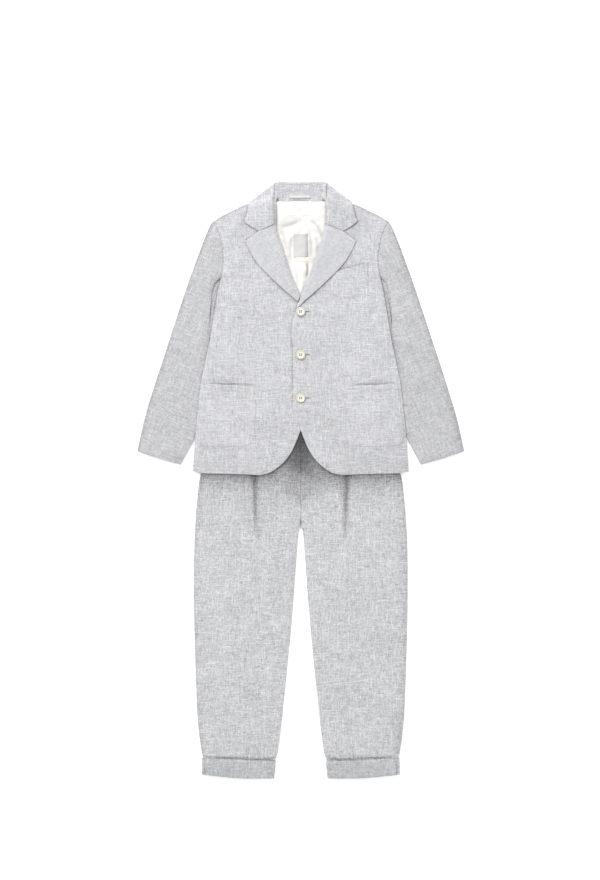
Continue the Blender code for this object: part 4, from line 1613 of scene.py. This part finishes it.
@dataclass
class Trousers:
    """The legs with their pleats, the waistband and the turn-ups."""

    tailor: Tailor
    cloth: float = 1.2
    pleat_across: float = 94.0

    def build(self) -> None:
        """Lays the back legs, the front legs, the waistband's halves and the turn-ups' fronts."""
        lay = self.tailor.lay
        lay(Cloth("waistband_back", self.cloth, TROUSERS, spacing=9.0, rests_on=["jacket_back"]))
        for side in Side:
            node = f"trouser_back_{side.word}"
            lay(Cloth(node, self.cloth, TROUSERS, spacing=8.0, rests_on=[f"turn_up_back_{side.word}"]))
        for side in Side:
            lay(
                Cloth(
                    f"trouser_front_{side.word}",
                    self.cloth,
                    TROUSERS,
                    evenness=4.5,
                    shape=self.creases(side),
                    loft=2.4,
                    bank=9.0,
                    overlap=0.3,
                    painted_shades=self.painted_shades(side),
                    rests_on=[f"trouser_back_{side.word}"],
                )
            )
        lay(Cloth("waistband_front", self.cloth, TROUSERS, spacing=9.0, rests_on=["waistband_back"]))
        for side in Side:
            node = f"turn_up_front_{side.word}"
            at = self.tailor.measure.trousers
            lay(
                Cloth(
                    node,
                    TURN_UP_CLOTH,
                    TURN_UP_LINEN_IN_PAINTED_SHADE,
                    spacing=2.8,
                    evenness=5.0,
                    loft=1.0,
                    bank=6.0,
                    # painted shade: along the turn-up's outer edge and near its inner side
                    painted_shades=[
                        Depth(at([(198.5, 2), (197.8, 44)], side), 1.4, 0.34),
                        Depth(at([(62, 1), (58, 35)], side), 1.4, 0.16),
                    ],
                    rests_on=[f"trouser_front_{side.word}"],
                )
            )

    def painted_shades(self, side: Side) -> list[Depth]:
        """The shade painted on a front leg: under the jacket's hem and in its notch, in the pleat, along the
        outer edge and over the turn-up.

        Args:
            side: The leg's side.

        Returns:
            The painted shades.
        """
        jacket, at = self.tailor.measure.jacket, self.tailor.measure.trousers
        edges = self.tailor.edges
        turn_up = at([(48, 36), (66, 39), (122, 42), (206, 45)], side)
        outer = at([(206, 631), (215, 567), (220, 467), (220, 327), (215, 157), (203, 52)], side)
        pleat = self.pleat_across
        # painted shade: under the jacket's hem and in its notch, along the outer edge, in the pleat and over
        # the turn-up
        return [
            Depth(edges.along("hem", side), 22.0, 0.68, long=True),
            Depth(jacket([(0, 396), (0, 590)]), 30.0, 0.7),
            Depth(jacket([(10, 556), (46, 584)]), 8.0, 0.22),
            Depth(outer, 6.0, 0.16, long=True),
            Depth(at([(pleat + 2, 700), (pleat, 560), (pleat - 3, 500)], side), 5.0, 0.46),
            Depth(at([(pleat + 2, 700), (pleat, 590)], side), 13.0, 0.2),
            Depth(turn_up, 3.4, 0.36),
            Depth(turn_up, 1.3, 0.45),
            Depth(at([(76, 42), (62, 41), (54, 46)], side), 2.4, 0.45),
            Depth(at([(107, 64), (111, 40)], side), 2.0, 0.3),
            Depth(at([(0, 524), (0, 536)], side), 2.0, 0.4),
        ]

    def creases(self, side: Side) -> Shape:
        """A front leg's pleat and soft folds.

        Args:
            side: The leg's side.

        Returns:
            Their heights over X and Y.
        """
        at = self.tailor.measure.trousers
        pleat = self.pleat_across
        marks = [
            Crease(*at([(pleat + 3, 490), (pleat - 4, 660)], side), 2.0, -2.4, sharp=True),
            Crease(*at([(pleat - 8, 500), (pleat - 14, 650)], side), 7.0, 1.6),
            Crease(*at([(20, 640), (52, 585)], side), 8.0, 1.2, bow=3.0),
            Crease(*at([(150, 560), (186, 470)], side), 16.0, 1.3, bow=8.0),
            Crease(*at([(96, 470), (112, 330)], side), 15.0, 1.0, bow=-6.0),
            Crease(*at([(60, 420), (52, 300)], side), 12.0, -0.9, bow=5.0),
            Crease(*at([(124, 396), (196, 402)], side), 6.0, -0.8, bow=-3.0),
            Crease(*at([(150, 260), (176, 120)], side), 15.0, 1.0, bow=5.0),
            Crease(*at([(84, 200), (92, 70)], side), 12.0, 0.9, bow=-4.0),
            Crease(*at([(111, 38), (107, 70)], side), 3.4, -1.6),
            Crease(*at([(64, 36), (58, 66)], side), 3.6, -1.4),
        ]
        return together(*marks, Ripple(0.5, 95.0, SEED + 2 * side.value))


@dataclass
class TurnUpBacks:
    """The back halves of the turn-ups, which lie on the floor."""

    tailor: Tailor

    def build(self) -> None:
        """Lays both."""
        for side in Side:
            self.tailor.lay(Cloth(f"turn_up_back_{side.word}", TURN_UP_CLOTH, TURN_UP_LINEN_IN_PAINTED_SHADE, spacing=6.0))


@dataclass
class Fronts:
    """The jacket's fronts, the lapels and the patch pockets on them."""

    tailor: Tailor
    cloth: float = 1.6
    hip_mouth_down: float = 381.0
    mouth_slope: float = 1.5
    lapel_points: int = 22

    def build(self) -> None:
        """Lays the wearer's right front, the left one over it and the breast pocket."""
        lay = self.tailor.lay
        lay(self.front(Side.RIGHT))
        lay(self.front(Side.LEFT))
        at = self.tailor.measure.jacket
        lay(
            Cloth(
                "breast_pocket",
                1.0,
                JACKET,
                spacing=2.6,
                evenness=3.0,
                # painted shade: along the pocket's outer side
                painted_shades=[Depth(at([(139.2, 122), (139.4, 140), (139.2, 160)]), 1.2, 0.26)],
                open_edge=at([(64, 151), (140, 130)]),
                sewn_reach=6.0,
                gap=0.05,
                rests_on=["jacket_front_left"],
            )
        )

    def finish(self) -> None:
        """Lays the lapels and the hip pockets, once the collar is on."""
        lay = self.tailor.lay
        lay(self.lapel(Side.RIGHT))
        lay(self.lapel(Side.LEFT))
        for side in Side:
            node = f"hip_pocket_{side.word}"
            front = f"jacket_front_{side.word}"
            at = self.tailor.measure.jacket
            high, low = self.hip_mouth_down - self.mouth_slope, self.hip_mouth_down + 3.5
            mouth = at([(203.6, high), (93, low)], side)
            gape = together(Crease(*(mouth + [0.0, -5.0]), 7.0, 1.5))
            lay(
                Cloth(
                    node,
                    1.2,
                    JACKET,
                    spacing=2.8,
                    evenness=4.0,
                    shape=gape,
                    # painted shade: along the pocket's inner side
                    painted_shades=[Depth(at([(93, 372), (93, 480), (97, 500)], side), 1.3, 0.1)],
                    open_edge=mouth,
                    sewn_reach=7.0,
                    gap=0.05,
                    rests_on=[front],
                )
            )

    def front(self, side: Side) -> Cloth:
        """A front with its soft folds and the hollow behind the pocket's mouth, with shade painted under its
        lapel and collar, along its seams and edges, and in the pocket's mouth.

        Args:
            side: The front's side.

        Returns:
            The front, not laid yet.
        """
        at = self.tailor.measure.jacket
        mouth = self.hip_mouth_down - self.mouth_slope
        opening = [(197, mouth + 0.3), (176, mouth), (124, mouth + 2.2), (96, mouth + 3.0)]
        marks = [
            Crease(*at([(196, mouth - 2), (120, mouth)], side), 3.2, -2.6),
            Crease(*at([(150, 34), (148, 58)], side), 3.5, -1.0),
            Crease(*at([(150, 170), (120, 250)], side), 14.0, 1.0, bow=5.0),
            Crease(*at([(120, 90), (128, 150)], side), 12.0, 0.8, bow=-3.0),
            Crease(*at([(60, 250), (70, 360)], side), 15.0, 0.8, bow=4.0),
            Crease(*at([(30, 240), (24, 330)], side), 8.0, 0.7, bow=-3.0),
            Crease(*at([(130, 300), (70, 350)], side), 13.0, -0.7, bow=4.0),
            Crease(*at([(150, 540), (146, 470)], side), 14.0, 0.8),
        ]
        shape = together(*marks, Ripple(0.45, 85.0, SEED + 3 + side.value))
        rests_on = ["jacket_back", f"trouser_front_{side.word}"]
        edge = at([(-15.5, 430), (-15.5, 318), (-18.5, 281), (-16.8, 255), (-12.5, 240), (-8.4, 226)])
        edges = self.tailor.edges
        # painted shade: under the lapel and the collar, along the armhole and side, at the shoulder, over the
        # lower front and in the pocket's mouth
        painted_shades = [
            Depth(edges.along("lapel", side), 3.0, 0.4),
            Depth(edges.along("lapel", side)[: self.lapel_points], 6.0, 0.2),
            Depth(edges.along("collar", side), 2.4, 0.34),
            Depth(at([(116, 86), (89, 66.5)], side), 2.0, 0.34),
            Depth(edges.along("armhole", side), 1.0, 0.26),
            Depth(at([(10, 500), (110, 490), (220, 500)], side), 75.0, 0.06),
            Depth(at([(160, 148), (166, 174), (173, 205), (179, 240)], side), 4.0, 0.12),
            Depth(at([(40, -14), (114, 10), (146, 25), (200, 54)], side), 4.0, 0.24),
            Depth(at([(70, -10), (100, 22), (122, 70)], side), 15.0, 0.1),
            Depth(at(opening, side), 1.5, 0.6),
        ]
        if side is Side.RIGHT:
            # painted shade: beside the edge of the left front that lies over this one
            painted_shades.append(Depth(edge - [1.2, 0.0], 2.2, 0.34))
        else:
            rests_on.append("jacket_front_right")
            # painted shade: under the breast pocket's mouth
            painted_shades.append(Depth(at([(40, 157), (76, 146), (104, 139), (121, 134), (134, 130)]), 2.4, 0.4))
        return Cloth(
            f"jacket_front_{side.word}",
            self.cloth,
            JACKET,
            shape=shape,
            loft=1.8,
            bank=8.0,
            painted_shades=painted_shades,
            overlap=0.4,
            folds=[(edge, 4.5, 1.3)] if side is Side.LEFT else [],
            rests_on=rests_on,
        )

    def lapel(self, side: Side) -> Cloth:
        """A lapel that rolls over at the fold.

        Args:
            side: The lapel's side.

        Returns:
            The lapel, not laid yet.
        """
        at = self.tailor.measure.jacket
        fold = [(-1.6, 208), (0.6, 196), (11.8, 173), (22.5, 148), (36, 106), (51, 62), (52.4, 50.6)]
        line = curve_through(at(fold, side), 5.0)
        tip = at([(-8.4, 224), (-5.6, 216), (-1.6, 208), (1.6, 194)], side)
        grain = Grain.LAPEL_LEFT if side is Side.LEFT else Grain.LAPEL_RIGHT
        return Cloth(
            f"lapel_{side.word}",
            1.8,
            Linen(f"lapel_linen_{side.word}", grain=grain, slubs=0.2, mottle=0.38),
            spacing=2.6,
            evenness=4.0,
            folds=[(line, 6.0, 3.0)],
            sewn=[tip],
            loft=1.2,
            bank=4.0,
            overlap=0.7,
            rests_on=[f"jacket_front_{side.word}"],
        )


@dataclass
class Collar:
    """The collar's fall: one sheet from behind the neck, over the shoulders, to the two gorges."""

    tailor: Tailor
    cloth: float = 1.8
    rows_between: int = 7
    points_across: int = 26
    roll: float = 4.4
    # how far inside the roll the slope down to the stand reaches, and its height at each place
    slope: tuple[float, ...] = (11.5, 9.5, 7.0, 4.4, 2.0)
    slope_rise: tuple[float, ...] = (0.0, 0.16, 0.42, 0.72, 0.94)
    slope_sunk: float = 1.7
    least_slope: float = 0.13
    side_slope: float = 3.0
    crest_rise: float = 0.7
    # the back of the neck ends here, counted down, and turns into the side over this length
    neck_start: float = 3.0
    neck_length: float = 12.0
    # the shape over the roll: how its points crowd, its share of the way, its form and its lowest part
    crowding: float = 1.5
    roll_share: float = 0.09
    roll_power: float = 1.4
    tuck: float = 0.35
    hang: float = 3.4
    gap: float = 0.3
    passes: int = 6
    gorge_falls: tuple[float, ...] = (0.8, 0.45, 0.2)
    # across and down of the roll, across and down of the outer edge, and 0 behind or 1 in front
    sections: tuple[tuple[float, float, float, float, float], ...] = (
        (0.0, -37.0, 0.0, 12.0, 0.0),
        (24.0, -37.0, 27.0, 12.0, 0.0),
        (42.0, -36.8, 54.0, 12.5, 0.0),
        (50.0, -36.4, 80.0, 11.0, 0.0),
        (52.4, -36.0, 96.0, 7.0, 0.06),
        (53.8, -35.6, 103.6, 3.2, 0.45),
        (53.4, -33.6, 106.2, 5.6, 0.9),
        (52.8, -27.0, 108.2, 13.0, 1.0),
        (52.6, -12.0, 110.5, 24.0, 1.0),
        (52.5, 8.0, 113.0, 35.0, 1.0),
        (52.0, 29.0, 115.5, 47.0, 1.0),
        (52.0, 50.8, 87.0, 66.0, 1.0),
    )

    def build(self) -> bpy.types.Object:
        """Lofts the fall through its sections, evens it out and gives it its thickness.

        Returns:
            The fall.
        """
        rows = self.rows()
        out = np.gradient(rows[:, :2], axis=0)
        out = np.column_stack([out[:, 1], -out[:, 0]]) / np.linalg.norm(out, axis=1)[:, None]
        grid = np.array([self.section(row, away) for row, away in zip(rows, out)])
        for _ in range(self.passes):
            grid[1:-1, :, 2] = (grid[:-2, :, 2] + grid[2:, :, 2] + 2 * grid[1:-1, :, 2]) / 4
        for end, lower in enumerate(self.gorge_falls):
            grid[end, :, 2] -= lower
            grid[-1 - end, :, 2] -= lower
        count = grid.shape[1]
        faces = [
            (i * count + k, i * count + k + 1, (i + 1) * count + k + 1, (i + 1) * count + k)
            for i in range(len(rows) - 1)
            for k in range(count - 1)
        ]
        piece = solid("cloth_collar_fall", grid.reshape(-1, 3), faces)
        wall = piece.modifiers.new("cloth", "SOLIDIFY")
        wall.thickness = self.cloth * MM
        wall.offset = 0.0
        JACKET.dress(piece)
        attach(piece, ROOT)
        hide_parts("collar_fall")
        LOG.info("cloth_collar_fall: %d rows", len(rows))
        return piece

    def section(self, row: Array, away: Array) -> Array:
        """Bends one section: up the slope from the stand, over the roll, out to the edge.

        Args:
            row: The section, as in the list of sections.
            away: Outwards from the neck at the roll, across and down.

        Returns:
            Its points in the frame, from the stand to the outer edge, (n, 3).
        """
        roll_x, roll_down, edge_x, edge_down, level = row
        shares = np.linspace(0, 1, self.points_across) ** self.crowding
        marks = [
            (abs(roll_x) + (abs(edge_x) - abs(roll_x)) * s, roll_down + (edge_down - roll_down) * s)
            for s in shares
        ]
        measure, ground = self.tailor.measure, self.tailor.ground
        plan = measure.jacket(marks, Side.LEFT if roll_x >= 0 else Side.RIGHT)
        over = ground.surface(plan) + self.gap + self.cloth / 2
        stand = self.gap + self.roll * (1 - shares) ** self.roll_power
        rise = np.sqrt(1 - (1 - np.clip(shares / self.roll_share, 0, 1)) ** 2)
        front = over + stand * (self.tuck + (1 - self.tuck) * rise)
        behind = self.cloth / 2 + self.hang * (1 - rise)
        fall = behind + (front - behind) * np.clip(level, 0, 1)
        behind_neck = float(smooth(np.array((self.neck_start - roll_down) / self.neck_length)))
        inward = np.array(self.slope) * (self.least_slope + (1 - self.least_slope) * behind_neck)
        back = np.array([roll_x, roll_down]) - np.outer(inward, away)
        slope = measure.jacket([tuple(mark) for mark in back])
        below = float(ground.surface(slope[:1])[0])
        foot = max(below - self.slope_sunk, self.cloth / 2)
        crest = max(below + self.crest_rise, float(fall[3]) * level)
        foot = foot + (max(foot, crest - self.side_slope) - foot) * (1 - behind_neck)
        height = foot + (crest - foot) * np.array(self.slope_rise)
        fall[0] = min(float(fall[0]), crest - self.gap) if level < 0.5 else crest
        return np.column_stack([np.vstack([slope, plan]), np.concatenate([height, fall])])

    def rows(self) -> Array:
        """The sections of both sides with more in between, from the wearer's right to the left.

        Returns:
            The sections, (n, 5).
        """
        half = np.array(self.sections)
        other = half[:0:-1].copy()
        other[:, 0] *= -1
        other[:, 2] *= -1
        marks = np.vstack([other, half])
        ends = np.vstack([2 * marks[0] - marks[1], marks, 2 * marks[-1] - marks[-2]])
        made = []
        for a, b, c, d in zip(ends, ends[1:], ends[2:], ends[3:]):
            for t in np.arange(self.rows_between) / self.rows_between:
                bend = 2 * b + (c - a) * t + (2 * a - 5 * b + 4 * c - d) * t * t
                made.append((bend + (3 * b - a - 3 * c + d) * t**3) / 2)
        return np.array([*made, marks[-1]])


@dataclass
class Buttons:
    """The pearly buttons, their thread and the ends of their buttonholes."""

    tailor: Tailor
    radius: float = 9.6
    height: float = 2.8
    first_down: float = 231.0
    pitch: float = 89.3
    count: int = 3
    holes: float = 1.9
    hole_radius: float = 1.1
    segments: int = 56
    gap: float = 0.3
    well: float = 0.75
    thread_radius: float = 0.3
    thread_shifts: tuple[float, ...] = (-0.35, 0.0, 0.35)
    slit_start: float = 1.0
    slit_end: float = 19.0
    slit_half: float = 0.25
    lip: float = 1.25
    stitch_pitch: float = 0.55
    stitch_heights: tuple[float, ...] = (-0.15, 0.1, 0.18, 0.1, -0.15)

    def build(self) -> None:
        """Makes each button with its thread and its buttonhole."""
        for number in range(self.count):
            down = self.first_down + number * self.pitch
            centre = self.tailor.measure.jacket([(0.0, down)])[0]
            turn = np.linspace(0, 2 * math.pi, 24)
            rim = centre + self.radius * np.column_stack([np.cos(turn), np.sin(turn)])
            foot = float(self.tailor.ground.surface(np.vstack([rim, centre[None]])).max()) + self.gap
            self.disc(number, centre, foot)
            self.thread(number, centre, foot)
            self.buttonhole(number, centre)
            LOG.info("pearl_button_%d: foot at %.1f mm", number + 1, foot)

    def disc(self, number: int, centre: Array, foot: float) -> None:
        """Turns the disc and drills its holes.

        Args:
            number: The button's number, from 0.
            centre: Its middle in plan.
            foot: The height of its underside.
        """
        r, h = self.radius, self.height
        profile = [(0.0, h - 1.0), (r * 0.55, h - 0.95), (r * 0.64, h - self.well), (r * 0.72, h - 0.15)]
        profile += [(r * 0.8, h), (r * 0.9, h - 0.08), (r * 0.97, h - 0.5), (r, h - 1.2)]
        profile += [(r * 0.96, h - 2.0), (r * 0.8, 0.15), (r * 0.6, 0.0), (0.0, 0.0)]
        line = curve_through(np.array(profile), 0.5)
        line[:, 0] = np.clip(line[:, 0], 0.0, r)
        points, faces = turned(line, self.segments)
        points = points + np.array([*centre, foot])
        name = f"pearl_button_{number + 1}"
        disc = solid(name, points, faces)
        Pearl().dress(disc)
        for i, (x, y) in enumerate(((-1, -1), (1, -1), (1, 1), (-1, 1))):
            cylinder = np.array([(self.hole_radius, 2 * h), (self.hole_radius, -h)])
            drill_line = np.vstack([(0.0, 2 * h), cylinder, (0.0, -h)])
            drill_points, drill_faces = turned(drill_line, 20)
            place = np.array([centre[0] + x * self.holes, centre[1] + y * self.holes, foot])
            drill = solid(f"{name}_drill_{i}", drill_points + place, drill_faces)
            cut = disc.modifiers.new(f"hole_{i}", "BOOLEAN")
            cut.operation = "DIFFERENCE"
            cut.object = drill
            with bpy.context.temp_override(object=disc, active_object=disc):
                bpy.ops.object.modifier_apply(modifier=cut.name)
            bpy.data.objects.remove(drill)
        places = np.array([tuple(vertex.co) for vertex in disc.data.vertices]) / MM
        off = np.hypot(places[:, 0] - centre[0], places[:, 1] - centre[1]) / r
        rim = disc.data.attributes.new("rim", "FLOAT", "POINT")
        rim.data.foreach_set("value", smooth((off - 0.62) / 0.2))
        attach(disc, ROOT)
        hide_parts(f"button_{number + 1}")

    def thread(self, number: int, centre: Array, foot: float) -> None:
        """Sews the button on with two bars of thread, side by side.

        Args:
            number: The button's number, from 0.
            centre: Its middle in plan.
            foot: The height of its underside.
        """
        lines = []
        top = foot + self.height - self.well
        for across in (-1, 1):
            for shift in self.thread_shifts:
                x = centre[0] + across * self.holes + shift
                ends = [(x, centre[1] + s * self.holes, foot + 0.4) for s in (-1.15, 1.15)]
                middle = [(x, centre[1] + s * self.holes * 0.8, top) for s in (-1, 1)]
                lines.append(np.array([ends[0], middle[0], (x, centre[1], top + 0.15), middle[1], ends[1]]))
        piece = strands(f"button_thread_{number + 1}", lines, self.thread_radius)
        Thread("button_thread", (0.10, 0.10, 0.08)).dress(piece)
        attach(piece, ROOT)

    def buttonhole(self, number: int, centre: Array) -> None:
        """Works the end of the buttonhole that shows past the button, with near-black strands painted along
        its slit as shade.

        Args:
            number: The button's number, from 0.
            centre: The button's middle in plan.
        """
        lines = []
        for x in np.arange(self.slit_start, self.slit_end, self.stitch_pitch):
            for side in (-1, 1):
                a = centre + np.array([x, side * self.slit_half])
                b = centre + np.array([x, side * self.lip])
                lines.append(self.bar(a, b))
        middle = centre + np.array([self.slit_end, 0.0])
        for turn in np.linspace(-math.pi / 2, math.pi / 2, 7):
            out = np.array([math.cos(turn), math.sin(turn)])
            lines.append(self.bar(middle + self.slit_half * out, middle + 1.4 * out))
        piece = strands(f"buttonhole_{number + 1}", lines, 0.26)
        Thread("buttonhole_thread", (0.36, 0.36, 0.37)).dress(piece)
        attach(piece, ROOT)
        # painted shade: near-black strands along the slit stand for the shade in it
        starts = [centre + np.array([x, 0.0]) for x in range(2, 16, 3)]
        slit = [self.bar(start, start + np.array([3.0, 0.0])) for start in starts]
        piece = strands(f"buttonhole_slit_painted_shade_{number + 1}", slit, 0.4)
        Thread("painted_slit_shade", (0.03, 0.03, 0.03)).dress(piece)
        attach(piece, ROOT)

    def bar(self, a: Array, b: Array) -> Array:
        """One stitch that lies on the front.

        Args:
            a: Where it starts, in plan.
            b: Where it ends.

        Returns:
            Its points, (5, 3).
        """
        plan = np.array([a + (b - a) * t for t in (0.0, 0.25, 0.5, 0.75, 1.0)])
        heights = self.tailor.ground.surface(plan) + np.array(self.stitch_heights)
        return np.column_stack([plan, heights])


def turned(line: Array, segments: int) -> tuple[Array, list[tuple[int, ...]]]:
    """Turns a profile round the Z axis.

    Args:
        line: The profile's (radius, height) points, its ends on the axis, from the top down.
        segments: How many steps there are in a turn.

    Returns:
        The points and the faces.
    """
    rings = line[1:-1]
    angles = 2 * math.pi * np.arange(segments) / segments
    points = [(r * math.cos(a), r * math.sin(a), z) for r, z in rings for a in angles]
    top, bottom = len(points), len(points) + 1
    points += [(0.0, 0.0, line[0][1]), (0.0, 0.0, line[-1][1])]
    faces: list[tuple[int, ...]] = []
    for k in range(len(rings) - 1):
        for i in range(segments):
            j = (i + 1) % segments
            here, below = k * segments, (k + 1) * segments
            faces.append((here + i, below + i, below + j, here + j))
    last = (len(rings) - 1) * segments
    for i in range(segments):
        j = (i + 1) % segments
        faces.append((top, i, j))
        faces.append((bottom, last + j, last + i))
    return np.array(points), faces


def strands(name: str, lines: Sequence[Array], radius: float) -> bpy.types.Object:
    """Makes thin round strands along lines of points, all in one mesh.

    Args:
        name: The piece's name.
        lines: The lines, each (n, 3).
        radius: The strands' radius.

    Returns:
        The object.
    """
    sides = 5
    points: list[Array] = []
    faces: list[tuple[int, ...]] = []
    for line in lines:
        start = len(points)
        ahead = np.gradient(line, axis=0)
        for point, along in zip(line, ahead):
            along = along / max(float(np.linalg.norm(along)), TINY)
            across = np.cross(along, (0.0, 0.0, 1.0))
            if np.linalg.norm(across) < 0.1:
                across = np.array([1.0, 0.0, 0.0])
            across = across / np.linalg.norm(across)
            up = np.cross(across, along)
            for k in range(sides):
                a = 2 * math.pi * k / sides
                points.append(point + radius * (math.cos(a) * across + math.sin(a) * up))
        for i in range(len(line) - 1):
            for k in range(sides):
                a, b = start + i * sides + k, start + i * sides + (k + 1) % sides
                faces.append((a, b, b + sides, a + sides))
        faces.append(tuple(start + k for k in range(sides)))
        faces.append(tuple(start + (len(line) - 1) * sides + k for k in range(sides)))
    return solid(name, np.array(points), faces)


@dataclass(frozen=True)
class Studio:
    """The floor, the lights and the camera."""

    camera_height: float = 4.0
    photo_length: float = 1.8216
    aim: tuple[float, float] = (-0.00145, 0.0825)
    sensor: float = 36.0
    sky: float = 0.62
    key_power: float = 330.0
    lamp_aim: tuple[float, float, float] = (0.0, 0.1, 0.0)
    floor_half: float = 60000.0
    floor_top: float = -0.05

    def build(self) -> None:
        """Makes the floor, the lights and the camera."""
        self.floor()
        self.lights()
        self.camera()
        bpy.context.scene.view_settings.view_transform = "Standard"

    def floor(self) -> None:
        """Makes the pale floor that the suit lies on."""
        half, low = self.floor_half, self.floor_top
        corners = np.array([(-half, -half, low), (half, -half, low), (half, half, low), (-half, half, low)])
        floor = solid("floor", corners, [(0, 1, 2, 3)])
        Floor().dress(floor)

    def lights(self) -> None:
        """Makes the soft sky and one broad lamp over the collar's side."""
        world = bpy.data.worlds.new("studio")
        bpy.context.scene.world = world
        world.use_nodes = True
        back = world.node_tree.nodes["Background"]
        back.inputs["Color"].default_value = (1.0, 1.0, 1.0, 1.0)
        back.inputs["Strength"].default_value = self.sky
        for name, place, size, power in (
            ("key", (-2.2, 4.0, 4.0), 2.6, self.key_power),
            ("fill", (3.0, -2.4, 5.0), 4.0, self.key_power * 0.25),
        ):
            data = bpy.data.lights.new(name, "AREA")
            data.shape = "SQUARE"
            data.size = size
            data.energy = power
            lamp = bpy.data.objects.new(name, data)
            lamp.location = place
            lamp.rotation_mode = "QUATERNION"
            lamp.rotation_quaternion = (Vector(self.lamp_aim) - Vector(place)).to_track_quat("-Z", "Y")
            bpy.context.scene.collection.objects.link(lamp)

    def camera(self) -> None:
        """Hangs the camera straight over the suit."""
        data = bpy.data.cameras.new("camera")
        data.sensor_width = self.sensor
        data.lens = self.sensor * self.camera_height / self.photo_length
        camera = bpy.data.objects.new("camera", data)
        camera.location = (*self.aim, self.camera_height)
        bpy.context.scene.collection.objects.link(camera)
        bpy.context.scene.camera = camera


def main() -> None:
    """Lays the suit from the floor upwards, then lights it."""
    logging.basicConfig(level=logging.INFO, format="%(message)s")
    for thing in list(bpy.data.objects):
        bpy.data.objects.remove(thing)
    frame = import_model()
    tailor = Tailor(Ground(), frame["nodes"], Measure.of_frame())
    TurnUpBacks(tailor).build()
    sleeves = Sleeves(tailor)
    sleeves.unders()
    JacketBack(tailor).build()
    sleeves.tops()
    Neck(tailor).build()
    Trousers(tailor).build()
    fronts = Fronts(tailor)
    fronts.build()
    Collar(tailor).build()
    fronts.finish()
    Buttons(tailor).build()
    Studio().build()


if __name__ == "__main__":
    main()
